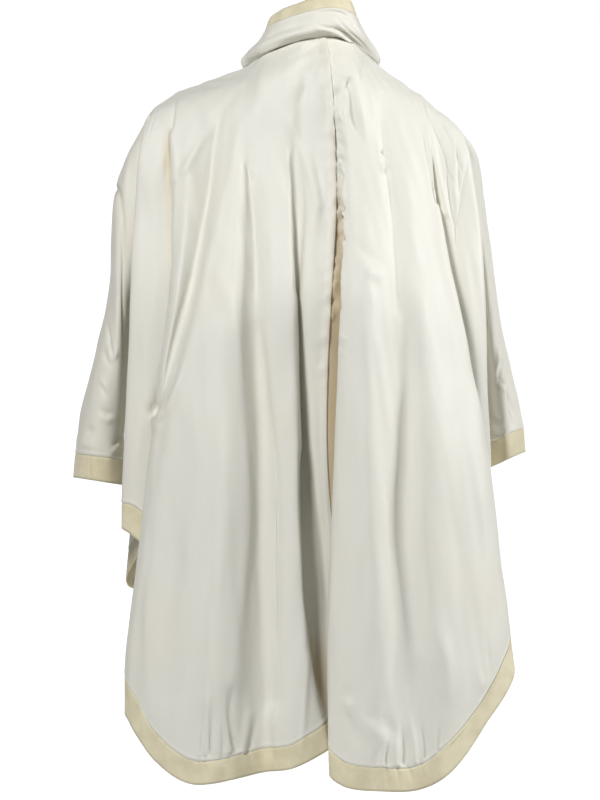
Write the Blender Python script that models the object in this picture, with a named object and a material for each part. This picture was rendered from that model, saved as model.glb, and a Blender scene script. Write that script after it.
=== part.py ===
"""A hooded cape in pale satin cloth with khaki bands, worn and hollow.

+Z is up and the cape's back faces -Y. The origin lies in the neck opening, between the shoulders.
Every piece is cloth: a wall of even thickness on a curved sheet. A sheet is lofted through named
fold lines, which run from the shoulder or the neck down to the hem. Lengths in the tables are in
millimetres, and a sheet becomes metres when its wall is made.
"""

from collections import defaultdict, namedtuple

import bmesh
import bpy
import numpy as np

# Cloth and seams, in millimetres
WALL = 1.6
SEAM_GAP = 0.3
HEM_BAND = 30.0
SHARPEST_TURN = 0.6
EXTRA_GAP_AT_TURNS = 4.0

# Rows of faces down a panel, and how many of them lie beside the armhole
PANEL_ROWS = 20
ARMHOLE_ROWS = 9
BAND_ROWS = 2
SIDE_COLUMNS = 1
SLEEVE_ROWS = 12
PARTS_BETWEEN_KNOTS = 16

# Just below the top edge a fold turns over the shoulder: shares of the way to the first level.
# The last level's knot is left out where it would crowd the hem.
OVER_THE_SHOULDER = (0.45, 0.62, 0.28)
LEAST_ABOVE_HEM = 25.0
LEAST_HEM_SLANT = 0.6
SHOULDER_SETTLING_ROWS = 6

# The tables hold widths and heights as they look from behind, from a level eye at this place.
# Nearer folds look larger, so each point is drawn in by its own distance before it is used.
EYE_X = -15.0
EYE_Z = -435.0
EYE_DISTANCE = 4000.0
TRUE_DEPTH = -120.0

CLOTH_COLOUR = (0.86, 0.83, 0.74, 1.0)
BAND_COLOUR = (0.62, 0.56, 0.38, 1.0)

# A fold line: where it leaves the top edge, how far across it lies at each level, where it meets
# the hem, how far back (-) or forward (+) it lies at DEPTH_LEVELS and at the hem, and how many
# columns of faces lie between it and the next line.
Fold = namedtuple("Fold", "name top_x across hem_x hem_z depths columns")
LEVELS = (-110, -200, -300, -400, -500, -620, -760)
DEPTH_LEVELS = (-110, -300, -500)

BACK_LEFT_FOLDS = (
    Fold("side_hollow", -203, (-214, -214, -208, -203, -204), -208, -592, (-48, -66, -66, -58), 1),
    Fold("side_turn", -197, (-219, -227, -232, -236, -241), -244, -598, (-64, -98, -102, -98), 2),
    Fold("side_panel", -184, (-201, -202, -207, -216, -224), -231, -608, (-74, -112, -118, -114), 2),
    Fold("lap_under", -172, (-183, -171, -158, -150, -144, -138), -130, -696, (-78, -118, -122, -118), 1),
    Fold(
        "lap_return", -168, (-181, -172, -160, -152, -146, -140),
        -132, -700, (-83, -130, -134, -130), 2,
    ),
    Fold(
        "lap_edge", -163, (-178, -177, -183, -196, -208, -221, -237),
        -239, -828, (-88, -142, -152, -164), 1,
    ),
    Fold(
        "lap_ridge", -146, (-157, -162, -172, -190, -203, -217, -234),
        -234, -848, (-98, -160, -168, -184), 1,
    ),
    Fold(
        "valley_one", -122, (-126, -138, -156, -182, -195, -210, -224),
        -222, -868, (-100, -154, -178, -196), 1,
    ),
    Fold(
        "ridge_one", -106, (-110, -124, -137, -164, -180, -194, -208),
        -200, -898, (-110, -176, -192, -213), 2,
    ),
    Fold(
        "ridge_two", -88, (-96, -98, -106, -118, -127, -127, -136),
        -154, -927, (-118, -188, -216, -238), 3,
    ),
    Fold("valley_two", -62, (-78, -77, -73, -70, -67, -67, -63), -58, -911, (-117, -172, -180, -198), 1),
    Fold("valley_wall", -42, (-62, -60, -58, -55, -53, -52, -50), -44, -910, (-120, -184, -198, -212), 1),
    Fold("ridge_three", -24, (-44, -40, -36, -33, -29, -27, -22), -28, -908, (-123, -190, -204, -220), 1),
    Fold("lip", -13, (-33, -29, -24, -21, -17, -14, -7), -12, -902, (-123, -190, -203, -220), 1),
    Fold("lip_edge", -8, (-27, -23, -18, -16, -12, -9, 2), 20, -884, (-121, -180, -188, -208), 2),
    Fold("floor_left", -3, (-22, -18, -27, -29, -28, -22, 4), 32, -872, (-119, -163, -153, -182), 1),
    Fold("floor_right", 3, (-16, -12, -20, -21, -20, -12, 12), 40, -864, (-119, -162, -150, -174), 1),
    Fold("strip_edge", 9, (-6, -5, -9, -4, 2, 14, 30), 50, -856, (-122, -177, -173, -168), 1),
    Fold("centre_seam", 17, (29, 30, 24, 19, 18, 26, 38), 60, -850, (-125, -181, -174, -160), 0),
)

BACK_RIGHT_FOLDS = (
    Fold("centre_seam", 17, (29, 30, 24, 19, 18, 26, 38), 60, -850, (-125, -181, -174, -160), 1),
    Fold("pleat_under", 22, (34, 46, 55, 58, 60, 62, 70), 80, -862, (-125, -172, -166, -160), 1),
    Fold("pleat_return", 26, (38, 45, 54, 57, 58, 60, 66), 74, -880, (-126, -182, -178, -174), 1),
    Fold("pleat_edge", 31, (43, 40, 37, 33, 29, 24, 20), 22, -912, (-127, -190, -194, -206), 1),
    Fold("pleat_face", 38, (53, 52, 48, 45, 42, 38, 36), 41, -930, (-128, -200, -211, -226), 1),
    Fold("ridge_four", 52, (66, 67, 69, 71, 72, 73, 77), 86, -936, (-128, -204, -222, -241), 2),
    Fold("valley_four", 84, (91, 101, 103, 113, 116, 118, 126), 138, -934, (-118, -184, -206, -233), 2),
    Fold("right_crest", 102, (118, 128, 138, 150, 160, 168, 176), 176, -914, (-108, -178, -210, -230), 2),
    Fold("right_flank", 120, (138, 150, 169, 187, 203, 217, 230), 220, -855, (-94, -156, -184, -206), 1),
    Fold("lap_edge", 130, (149, 165, 186, 207, 224, 239, 256), 259, -772, (-87, -141, -152, -166), 2),
    Fold("lap_return", 135, (151, 160, 164, 166, 165, 160), 154, -692, (-82, -130, -134, -130), 1),
    Fold("lap_under", 139, (153, 159, 162, 164, 163, 158), 152, -688, (-78, -118, -122, -118), 2),
    Fold("side_panel", 156, (175, 192, 204, 212, 217), 220, -612, (-74, -112, -118, -114), 2),
    Fold("side_turn", 175, (199, 214, 222, 225, 228), 230, -598, (-64, -98, -102, -98), 1),
    Fold("side_hollow", 182, (198, 202, 200, 196, 196), 200, -592, (-44, -66, -66, -58), 1),
)

FRONT_FOLDS = (
    Fold("side_turn", 193, (200, 210, 212, 214, 222), 236, -672, (62, 96, 106, 114), 2),
    Fold("side_valley", 168, (170, 176, 180, 184, 190), 196, -682, (70, 98, 110, 122), 2),
    Fold("side_ridge", 132, (130, 136, 141, 146, 151), 156, -690, (84, 128, 154, 182), 2),
    Fold("neck_valley", 88, (91, 93, 96, 99, 103), 106, -694, (98, 124, 136, 150), 3),
    Fold("neck_ridge", 44, (48, 50, 53, 56, 60), 62, -696, (110, 144, 168, 192), 3),
    Fold("centre_front", 0, (0, 0, 0, 0, 0), 0, -692, (110, 132, 148, 164), 0),
)

# Outer ends of the shoulder seams, and the shoulder line from the neck outwards
Shoulder = namedtuple("Shoulder", "across height")
LEFT_SHOULDER = Shoulder(
    (-207, -195, -187, -172, -152, -123, -88),
    (-67, -55, -50, -41, -33, -23, -9),
)
RIGHT_SHOULDER = Shoulder(
    (84, 96, 110, 128, 141, 155, 168, 178, 189),
    (-4, -15, -23, -36, -46, -58, -68, -77, -88),
)

# The neckline is an oval in plan. From its high point it falls to each side by its own rate.
NECK_CENTRE_X = -2.0
NECK_CENTRE_Y = 6.0
NECK_HALF_WIDTH = 86.5
NECK_BACK_DEPTH = 72.0
NECK_FRONT_DEPTH = 80.0
NECK_TOP_X = 24.0
NECK_TOP_Z = 29.5
NECK_FALL_LEFT = 0.0031
NECK_FALL_RIGHT = 0.0093
FRONT_NECK_Z = -48.0

# Armhole edges from shoulder to underarm, then the side seam down to the hem
Seam = namedtuple("Seam", "across depth height")
ARMHOLE_BACK_LEFT = Seam(
    (-207, -212, -213, -208, -202, -199),
    (0, -30, -48, -48, -32, -2),
    (-67, -105, -160, -220, -275, -300),
)
ARMHOLE_FRONT_LEFT = Seam(
    (-207, -209, -208, -205, -201, -199),
    (0, 30, 50, 50, 30, -2),
    (-67, -105, -160, -220, -275, -300),
)
SIDE_SEAM_LEFT = Seam(
    (-199, -190, -184, -186, -194),
    (-2, 2, 4, 2, 0),
    (-300, -335, -400, -500, -592),
)
ARMHOLE_BACK_RIGHT = Seam(
    (189, 200, 203, 200, 195, 192),
    (0, -30, -48, -48, -32, -2),
    (-88, -120, -170, -225, -280, -303),
)
ARMHOLE_FRONT_RIGHT = Seam(
    (189, 198, 200, 198, 194, 192),
    (0, 30, 50, 50, 30, -2),
    (-88, -120, -170, -225, -280, -303),
)
SIDE_SEAM_RIGHT = Seam(
    (192, 183, 178, 179, 184),
    (-2, 2, 4, 2, 0),
    (-303, -338, -400, -500, -592),
)

# Sleeve sections below the armhole: outer edge, inner edge, half depth and how far forward
Section = namedtuple("Section", "outer_x outer_z inner_x inner_z half_depth middle_y")
LEFT_SLEEVE = (
    Section(-229, -110, -221, -306, 49, 1),
    Section(-251, -164, -229, -326, 49, 2),
    Section(-256, -230, -232, -356, 50, 4),
    Section(-258, -285, -234, -390, 51, 6),
    Section(-275, -364, -236, -432, 52, 8),
    Section(-296, -452, -239, -482, 53, 10),
    Section(-303, -504, -240, -512, 53, 10),
    Section(-305, -534, -241, -544, 53, 10),
)
RIGHT_SLEEVE = (
    Section(209, -116, 213, -309, 48, 1),
    Section(219, -166, 218, -328, 49, 2),
    Section(225, -215, 220, -356, 50, 4),
    Section(233, -275, 221, -388, 52, 6),
    Section(246, -352, 222, -424, 54, 8),
    Section(265, -436, 223, -464, 56, 10),
    Section(272, -470, 223, -492, 56, 10),
    Section(274, -501, 224, -523, 56, 10),
)

# Lines up the hood, from the left side of the throat round the back to the right side: the seam
# with its band, and the band's free edge. Below the seam the hood swells out over the neckline.
HoodLine = namedtuple("HoodLine", "name share seam edge")
HOOD_LINES = (
    HoodLine("throat_left", 0.00, (-1, 86, -27), (-2, 78, -5)),
    HoodLine("front_left", 0.16, (-54, 54, -3), (-50, 44, 16)),
    HoodLine("side_left", 0.29, (-61, 0, 34), (-55, -8, 52)),
    HoodLine("nape_left", 0.40, (-34, -52, 54), (-29, -40, 69)),
    HoodLine("nape", 0.52, (24, -60, 68), (25, -46, 84)),
    HoodLine("nape_right", 0.62, (52, -42, 61), (46, -34, 78)),
    HoodLine("side_right", 0.71, (59, 2, 50), (52, -5, 72)),
    HoodLine("front_right", 0.84, (52, 54, 2), (47, 44, 22)),
    HoodLine("throat_right", 1.00, (1, 86, -27), (2, 78, -5)),
)
HOOD_SWELL_BACK = 9.0
HOOD_SWELL_SIDE = 2.0
HOOD_SWELL_HEIGHT = 9.0
THROAT_PARTING = 0.8
HOOD_ROWS = 5


def spline(knots, steps):
    """A smooth curve through the knots, with steps[i] parts between knot i and the next."""
    knots = np.asarray(knots, float)
    gaps = np.sqrt(np.maximum(np.linalg.norm(np.diff(knots, axis=0), axis=1), 1e-6))
    slopes = np.diff(knots, axis=0) / gaps[:, None]
    tangents = np.vstack([slopes[:1], slopes])
    tangents[1:-1] = (slopes[:-1] * gaps[1:, None] + slopes[1:] * gaps[:-1, None]) / (
        gaps[1:, None] + gaps[:-1, None]
    )
    points = [knots[:1]]
    for i, count in enumerate(steps[: len(gaps)]):
        t = (np.arange(1, count + 1) / count)[:, None]
        start = (2 * t**3 - 3 * t**2 + 1) * knots[i] + (t**3 - 2 * t**2 + t) * gaps[i] * tangents[i]
        end = (3 * t**2 - 2 * t**3) * knots[i + 1] + (t**3 - t**2) * gaps[i] * tangents[i + 1]
        points.append(start + end)
    return np.vstack(points)


def spread(line, lengths):
    """Points of a polyline at the given lengths from its start."""
    along = np.append(0.0, np.cumsum(np.linalg.norm(np.diff(line, axis=0), axis=1)))
    return np.column_stack([np.interp(lengths, along, line[:, axis]) for axis in range(3)])


def length_of(line):
    return float(np.linalg.norm(np.diff(line, axis=0), axis=1).sum())


def fine(knots):
    """A smooth curve through the knots as a polyline of many short parts."""
    return spline(knots, [PARTS_BETWEEN_KNOTS] * (len(knots) - 1))


def seam_line(seam):
    return fine(np.column_stack([seam.across, seam.depth, seam.height]))


def back_top(x):
    """The back's top edge: the neckline between the shoulder seams, and the shoulders beyond it."""
    if x < LEFT_SHOULDER.across[-1]:
        return np.array([x, 0.0, np.interp(x, *LEFT_SHOULDER)])
    if x > RIGHT_SHOULDER.across[0]:
        return np.array([x, 0.0, np.interp(x, *RIGHT_SHOULDER)])
    share = (x - NECK_CENTRE_X) / NECK_HALF_WIDTH
    y = NECK_CENTRE_Y - NECK_BACK_DEPTH * np.sqrt(max(1 - share**2, 0.0))
    fall = NECK_FALL_LEFT if x < NECK_TOP_X else NECK_FALL_RIGHT
    return np.array([x, min(y, 0.0), NECK_TOP_Z - fall * (x - NECK_TOP_X) ** 2])


def front_top(x, side):
    """The front's top edge on one side. It follows the shoulder, then dips round the neck."""
    shoulder = LEFT_SHOULDER if side < 0 else RIGHT_SHOULDER
    neck_x = min(shoulder.across, key=abs)
    neck_z = np.interp(neck_x, *shoulder)
    if x >= abs(neck_x):
        return np.array([side * x, 0.0, np.interp(side * x, *shoulder)])
    share = x / abs(neck_x)
    round_the_neck = np.sqrt(1 - share**2)
    y = (NECK_CENTRE_Y + NECK_FRONT_DEPTH) * round_the_neck
    return np.array([side * x, y, neck_z + (FRONT_NECK_Z - neck_z) * round_the_neck])


def fold_line(fold, top, side=1):
    """A fold as a fine curve: off the top edge, over the shoulder's roundness, down to the hem."""
    depth_heights = [fold.hem_z, *reversed(DEPTH_LEVELS)]
    depths = list(reversed(fold.depths))
    knots = [top]
    first = np.array([side * fold.across[0], fold.depths[0], LEVELS[0]])
    knots.append(top + (first - top) * OVER_THE_SHOULDER)
    for x, z in zip(fold.across, LEVELS):
        if z > fold.hem_z + LEAST_ABOVE_HEM:
            knots.append((side * x, np.interp(z, depth_heights, depths), z))
    knots.append((side * fold.hem_x, fold.depths[-1], fold.hem_z))
    return fine(knots)


def band_lengths(lines):
    """How long the hem band is along each fold line, so that it keeps its width on a slanting hem."""
    ends = np.array([line[-1] for line in lines])
    lengths = np.full(len(lines), HEM_BAND)
    for i in range(1, len(lines) - 1):
        down = lines[i][-1] - lines[i][-10]
        hem = ends[i + 1] - ends[i - 1]
        slant = np.linalg.norm(np.cross(down, hem)) / np.linalg.norm(down) / np.linalg.norm(hem)
        lengths[i] = HEM_BAND / max(slant, LEAST_HEM_SLANT)
    return lengths


def panel_sheets(side_lines, folds, lines, side_first):
    """A panel and its hem band, as two grids of points that share the row of their seam.

    side_lines are the armhole edge and the side seam, which together make the panel's side.
    """
    armhole, side_seam = side_lines
    side_rows = [spread(armhole, np.linspace(0, length_of(armhole), ARMHOLE_ROWS + 1))]
    seam_length = length_of(side_seam)
    below = np.linspace(0, seam_length - HEM_BAND, PANEL_ROWS - ARMHOLE_ROWS + 1)[1:]
    side_rows.append(spread(side_seam, below))
    band = np.linspace(seam_length - HEM_BAND, seam_length, BAND_ROWS + 1)
    side_column = np.vstack(side_rows), spread(side_seam, band)

    everything = [side_seam, *lines] if side_first else [*lines, side_seam]
    bands = band_lengths(everything)
    bands = bands[1:] if side_first else bands[:-1]
    columns = []
    for line, band_length in zip(lines, bands):
        whole = length_of(line)
        panel = spread(line, np.linspace(0, whole - band_length, PANEL_ROWS + 1))
        columns.append((panel, spread(line, np.linspace(whole - band_length, whole, BAND_ROWS + 1))))
    steps = [fold.columns for fold in folds]
    if side_first:
        columns.insert(0, side_column)
        steps = [SIDE_COLUMNS, *steps]
    else:
        columns.append(side_column)
    sheets = []
    for part in (0, 1):
        rows = zip(*(column[part] for column in columns))
        sheets.append(np.array([spline(row, steps) for row in rows]))
    return sheets


def settle(sheet, edge):
    """Moves the first columns of the top row onto the edge, fading out in the rows below it."""
    shift = np.zeros((sheet.shape[1], 3))
    shift[: len(edge)] = edge - sheet[0, : len(edge)]
    fade = np.clip(1 - np.arange(len(sheet)) / SHOULDER_SETTLING_ROWS, 0, 1)[:, None, None]
    sheet += shift * fade * fade * (3 - 2 * fade)


def back_sheets():
    left_lines = [fold_line(fold, back_top(fold.top_x)) for fold in BACK_LEFT_FOLDS]
    right_lines = [fold_line(fold, back_top(fold.top_x)) for fold in BACK_RIGHT_FOLDS]
    left_sides = seam_line(ARMHOLE_BACK_LEFT), seam_line(SIDE_SEAM_LEFT)
    right_sides = seam_line(ARMHOLE_BACK_RIGHT), seam_line(SIDE_SEAM_RIGHT)
    left = panel_sheets(left_sides, BACK_LEFT_FOLDS, left_lines, True)
    right = panel_sheets(right_sides, BACK_RIGHT_FOLDS, right_lines, False)
    return left, right


def front_sheets(side, back):
    """One front, whose shoulder edge is the back's own. Columns run from the side to the centre."""
    lines = [fold_line(fold, front_top(fold.top_x, side), side) for fold in FRONT_FOLDS]
    if side < 0:
        armhole, side_seam = seam_line(ARMHOLE_FRONT_LEFT), seam_line(SIDE_SEAM_LEFT)
        shoulder = back[0][0, : left_shoulder_columns() + 1]
    else:
        armhole, side_seam = seam_line(ARMHOLE_FRONT_RIGHT), seam_line(SIDE_SEAM_RIGHT)
        shoulder = back[0][0, ::-1][: right_shoulder_columns() + 1]
    folds = with_shoulder_columns(FRONT_FOLDS, len(shoulder) - 1)
    sheet, band = panel_sheets((armhole, side_seam), folds, lines, True)
    settle(sheet, shoulder)
    if side < 0:
        return sheet[:, ::-1], band[:, ::-1]
    return sheet, band


def left_shoulder_columns():
    """How many columns of the back lie between the left shoulder's outer end and the neck."""
    neck_x = LEFT_SHOULDER.across[-1]
    return SIDE_COLUMNS + sum(fold.columns for fold in BACK_LEFT_FOLDS if fold.top_x < neck_x)


def right_shoulder_columns():
    """How many columns of the back lie between the neck and the right shoulder's outer end."""
    neck_x = RIGHT_SHOULDER.across[0]
    return sum(fold.columns for fold in BACK_RIGHT_FOLDS if fold.top_x >= neck_x)


def with_shoulder_columns(folds, count):
    """The front's folds with as many columns on the shoulder as the back has."""
    first, second, third, *rest = folds
    spare = count - SIDE_COLUMNS
    shares = [spare // 3, (spare + 1) // 3, (spare + 2) // 3]
    beside = [fold._replace(columns=share) for fold, share in zip((first, second, third), shares)]
    return (*beside, *rest)


def sleeve_sheets(armhole, sections, side):
    """A sleeve and its cuff, as rings of points that start and end at the sleeve's outer edge."""
    half = ARMHOLE_ROWS
    angles = np.pi * np.arange(2 * half + 1) / half
    rings = [armhole]
    for section in sections:
        outer = np.array([section.outer_x, section.middle_y, section.outer_z])
        inner = np.array([section.inner_x, section.middle_y, section.inner_z])
        across = np.cos(angles)[:, None] * (outer - inner) / 2
        depth = side * np.sin(angles)[:, None] * np.array([0, section.half_depth, 0])
        rings.append((outer + inner) / 2 + across + depth)
    rings = np.array(rings)
    sleeve, cuff = [], []
    for column in range(rings.shape[1]):
        body = fine(rings[:-1, column])
        sleeve.append(spread(body, np.linspace(0, length_of(body), SLEEVE_ROWS + 1)))
        end = rings[-2:, column]
        cuff.append(spread(end, np.linspace(0, length_of(end), BAND_ROWS + 1)))
    return np.array(sleeve).transpose(1, 0, 2), np.array(cuff).transpose(1, 0, 2)


def hood_sheets(neckline):
    """The hood and its band, on the neckline's own points. Rows run from the top down."""
    shares = np.append(0, np.cumsum(np.linalg.norm(np.diff(neckline, axis=0), axis=1)))
    shares /= shares[-1]
    table_shares = [line.share for line in HOOD_LINES]

    def ring(values):
        curve = fine(values)
        knots_along = np.arange(len(curve)) / PARTS_BETWEEN_KNOTS
        curve_shares = np.interp(knots_along, np.arange(len(values)), table_shares)
        return np.column_stack([np.interp(shares, curve_shares, curve[:, axis]) for axis in range(3)])

    outward = unit((neckline - (NECK_CENTRE_X, NECK_CENTRE_Y, 0)) * (1, 1, 0))
    swell = HOOD_SWELL_SIDE + (HOOD_SWELL_BACK - HOOD_SWELL_SIDE) * np.maximum(-outward[:, 1:2], 0)
    low = neckline + outward * swell + (0, 0, HOOD_SWELL_HEIGHT)
    low[0, 0] -= THROAT_PARTING
    low[-1, 0] += THROAT_PARTING
    seam = ring([line.seam for line in HOOD_LINES])
    edge = ring([line.edge for line in HOOD_LINES])
    hood, band = [], []
    for column in range(len(neckline)):
        line = fine([seam[column], low[column], neckline[column]])
        hood.append(spread(line, np.linspace(0, length_of(line), HOOD_ROWS + 1)))
        top = np.array([edge[column], seam[column]])
        band.append(spread(top, np.linspace(0, length_of(top), BAND_ROWS + 1)))
    return np.array(hood).transpose(1, 0, 2), np.array(band).transpose(1, 0, 2)


def true_place(points):
    """Turns widths and heights as they look into real ones, by each point's own distance."""
    scale = (EYE_DISTANCE + points[..., 1] - TRUE_DEPTH) / EYE_DISTANCE
    placed = points.copy()
    placed[..., 0] = EYE_X + (points[..., 0] - EYE_X) * scale
    placed[..., 2] = EYE_Z + (points[..., 2] - EYE_Z) * scale
    return placed


def unit(vectors):
    return vectors / np.maximum(np.linalg.norm(vectors, axis=-1, keepdims=True), 1e-12)


def slopes_of(sheet, ring):
    """Directions along the rows and down the columns at each point of a sheet."""
    down = np.gradient(sheet, axis=0)
    if ring:
        along = np.roll(sheet[:, :-1], -1, axis=1) - np.roll(sheet[:, :-1], 1, axis=1)
        along = np.concatenate([along, along[:, :1]], axis=1) / 2
    else:
        along = np.gradient(sheet, axis=1)
    return along, down


def corner_normals(sheet, ring):
    """The sum of the unit normals of the faces round each point, and how many faces those are."""
    across = sheet[1:, 1:] - sheet[:-1, :-1]
    against = sheet[1:, :-1] - sheet[:-1, 1:]
    faces = unit(np.cross(against, across))
    total = np.zeros(sheet.shape)
    count = np.zeros(sheet.shape[:2])
    for rows in (slice(1, None), slice(None, -1)):
        for columns in (slice(1, None), slice(None, -1)):
            total[rows, columns] += faces
            count[rows, columns] += 1
    if ring:
        total[:, 0] = total[:, -1] = total[:, 0] + total[:, -1]
        count[:, 0] = count[:, -1] = count[:, 0] + count[:, -1]
    return total, count


def shared_offsets(sheets, rings):
    """Outward steps of a wall's thickness at each point, lengthened where the cloth turns.

    At a seam both sheets take the same step, so that their rims stand face to face.
    """
    sums = defaultdict(lambda: np.zeros(4))
    keys = {}
    for name, sheet in sheets.items():
        total, count = corner_normals(sheet, name in rings)
        keys[name] = [tuple(place + 0.0) for place in np.round(sheet, 3).reshape(-1, 3)]
        values = np.concatenate([total, count[..., None]], axis=2).reshape(-1, 4)
        own = dict(zip(keys[name], values))
        for key, value in own.items():
            sums[key] += value
    offsets = {}
    for name, sheet in sheets.items():
        values = np.array([sums[key] for key in keys[name]])
        mean = values[:, :3] / values[:, 3:]
        length = np.linalg.norm(mean, axis=1, keepdims=True)
        steps = WALL * mean / length / np.maximum(length, SHARPEST_TURN)
        offsets[name] = steps.reshape(sheet.shape)
    return offsets


def half_gaps(facing):
    """Half a seam's gap at each point of an edge, a little more where the edge turns sharply."""
    turns = np.linalg.norm(np.diff(facing, axis=0), axis=1)
    turn = np.maximum(np.append(turns, 0), np.append(0, turns))[:, None]
    return SEAM_GAP / 2 * (1 + EXTRA_GAP_AT_TURNS * turn**2)


def drawn_in(sheet, offsets, ring):
    """The sheet with each edge drawn in by half the gap of a seam."""
    along, down = slopes_of(sheet, ring)
    result = sheet.copy()
    facing = unit(offsets)
    for row, inward in ((0, 1), (-1, -1)):
        step = unit(np.cross(along[row], offsets[row]))
        step *= np.sign((step * down[row]).sum(axis=1, keepdims=True)) * inward
        result[row] += step * half_gaps(facing[row])
    if not ring:
        for column, inward in ((0, 1), (-1, -1)):
            step = unit(np.cross(down[:, column], offsets[:, column]))
            step *= np.sign((step * along[:, column]).sum(axis=1, keepdims=True)) * inward
            result[:, column] += step * half_gaps(facing[:, column])
    else:
        result[:, -1] = result[:, 0]
    return result


def cloth_object(name, sheet, offsets, ring, material, collection):
    """A wall of cloth: a grid laid on the sheet's points, closed with a second face inside it."""
    rows, columns = sheet.shape[:2]
    outer = drawn_in(sheet, offsets, ring) / 1000
    inner = outer - offsets / 1000
    mesh = bmesh.new()
    bmesh.ops.create_grid(mesh, x_segments=columns - 1, y_segments=rows - 1, size=1)
    mesh.verts.ensure_lookup_table()
    place = mesh.verts.layers.int.new("place")
    order = sorted(mesh.verts, key=lambda v: (round(-v.co.y, 4), round(v.co.x, 4)))
    for index, vertex in enumerate(order):
        vertex[place] = index
        vertex.co = outer[index // columns, index % columns]
    if ring:
        bmesh.ops.remove_doubles(mesh, verts=mesh.verts, dist=1e-6)
    bmesh.ops.triangulate(mesh, faces=mesh.faces)
    made = bmesh.ops.extrude_face_region(mesh, geom=mesh.faces[:], use_keep_orig=True)
    for vertex in (item for item in made["geom"] if isinstance(item, bmesh.types.BMVert)):
        vertex.co = inner[vertex[place] // columns, vertex[place] % columns]
    bmesh.ops.recalc_face_normals(mesh, faces=mesh.faces)
    data = bpy.data.meshes.new(name)
    mesh.to_mesh(data)
    mesh.free()
    if signed_volume(data) < 0:
        data.flip_normals()
    data.shade_smooth()
    data.materials.append(material)
    cloth = bpy.data.objects.new(name, data)
    collection.objects.link(cloth)
    return cloth


def signed_volume(data):
    data.calc_loop_triangles()
    corners = np.array([[data.vertices[i].co[:] for i in face.vertices] for face in data.loop_triangles])
    return float(np.einsum("ij,ij->i", corners[:, 0], np.cross(corners[:, 1], corners[:, 2])).sum())


def cloth_material(name, colour, roughness):
    material = bpy.data.materials.new(name)
    material.use_nodes = True
    shader = material.node_tree.nodes["Principled BSDF"]
    shader.inputs["Base Color"].default_value = colour
    shader.inputs["Roughness"].default_value = roughness
    shader.inputs["Metallic"].default_value = 0.0
    return material


def armhole_ring(back, front):
    """The armhole's points, from the shoulder down the first edge and up the second."""
    down = back[: ARMHOLE_ROWS + 1]
    return np.vstack([down, front[:ARMHOLE_ROWS][::-1]])


def main():
    for old in list(bpy.data.objects):
        bpy.data.objects.remove(old, do_unlink=True)
    collection = bpy.data.collections.new("hooded_cape")
    bpy.context.scene.collection.children.link(collection)

    back_left, back_right = back_sheets()
    front_left = front_sheets(-1, back_left)
    front_right = front_sheets(1, back_right)

    left_armhole = armhole_ring(back_left[0][:, 0], front_left[0][:, -1])
    right_armhole = armhole_ring(front_right[0][:, 0], back_right[0][:, -1])
    sleeve_left, cuff_left = sleeve_sheets(left_armhole, LEFT_SLEEVE, -1)
    sleeve_right, cuff_right = sleeve_sheets(right_armhole, RIGHT_SLEEVE, 1)

    left_shoulder = left_shoulder_columns()
    right_shoulder = right_shoulder_columns()
    neckline = np.vstack([
        front_left[0][0, : -left_shoulder - 1],
        back_left[0][0, left_shoulder:],
        back_right[0][0, 1 : -right_shoulder],
        front_right[0][0, right_shoulder + 1 :],
    ])
    hood, hood_band = hood_sheets(neckline)

    sheets = {
        "back_left": back_left[0],
        "back_right": back_right[0],
        "front_left": front_left[0],
        "front_right": front_right[0],
        "sleeve_left": sleeve_left,
        "sleeve_right": sleeve_right,
        "cuff_left": cuff_left,
        "cuff_right": cuff_right,
        "hood": hood,
        "hood_band": hood_band,
        "hem_back_left": back_left[1],
        "hem_back_right": back_right[1],
        "hem_front_left": front_left[1],
        "hem_front_right": front_right[1],
    }
    rings = {"sleeve_left", "sleeve_right", "cuff_left", "cuff_right"}
    sheets = {name: true_place(sheet) for name, sheet in sheets.items()}
    offsets = shared_offsets(sheets, rings)
    for name, sheet in sheets.items():
        banded = name.startswith(("hem", "cuff", "hood_band"))
        material = cloth_material(
            f"{name}_cloth", BAND_COLOUR if banded else CLOTH_COLOUR, 0.85 if banded else 0.45
        )
        cloth_object(name, sheet, offsets[name], name in rings, material, collection)


main()
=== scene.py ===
# %% [markdown]
# # A hooded cape in pale satin, seen from behind
#
# The real object is a wide cape with short sleeves, cut from a crisp pale satin and edged with a
# khaki suede-like band. It hangs from its shoulders, so the cloth falls in deep soft folds.
#
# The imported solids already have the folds. This lesson dresses them: each solid gives way to a
# much finer sheet of cloth on the same lines, with creases, seams and a finish of its own.

from collections import namedtuple
from math import pi

import bpy
import numpy as np
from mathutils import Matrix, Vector


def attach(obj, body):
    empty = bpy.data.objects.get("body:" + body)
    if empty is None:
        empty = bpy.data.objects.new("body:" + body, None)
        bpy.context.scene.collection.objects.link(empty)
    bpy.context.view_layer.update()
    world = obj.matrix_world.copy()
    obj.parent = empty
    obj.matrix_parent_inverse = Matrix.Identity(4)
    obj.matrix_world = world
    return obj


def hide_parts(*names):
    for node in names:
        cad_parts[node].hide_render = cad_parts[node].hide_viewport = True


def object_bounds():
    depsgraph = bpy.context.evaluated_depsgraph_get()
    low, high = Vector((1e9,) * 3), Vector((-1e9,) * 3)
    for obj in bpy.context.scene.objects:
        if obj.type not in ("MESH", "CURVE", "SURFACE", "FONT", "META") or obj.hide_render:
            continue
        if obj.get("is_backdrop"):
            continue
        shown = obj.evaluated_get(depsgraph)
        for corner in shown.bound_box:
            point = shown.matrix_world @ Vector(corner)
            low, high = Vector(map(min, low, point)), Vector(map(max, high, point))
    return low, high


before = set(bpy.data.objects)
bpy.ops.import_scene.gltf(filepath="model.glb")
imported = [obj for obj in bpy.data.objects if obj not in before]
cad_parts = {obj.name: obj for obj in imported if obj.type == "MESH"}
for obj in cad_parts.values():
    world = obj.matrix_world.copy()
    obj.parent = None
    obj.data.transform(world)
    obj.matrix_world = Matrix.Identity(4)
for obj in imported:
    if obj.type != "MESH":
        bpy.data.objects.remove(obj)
CAD_BOX = [list(corner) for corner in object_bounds()]
print("nodes:", ", ".join(sorted(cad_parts)))

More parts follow.
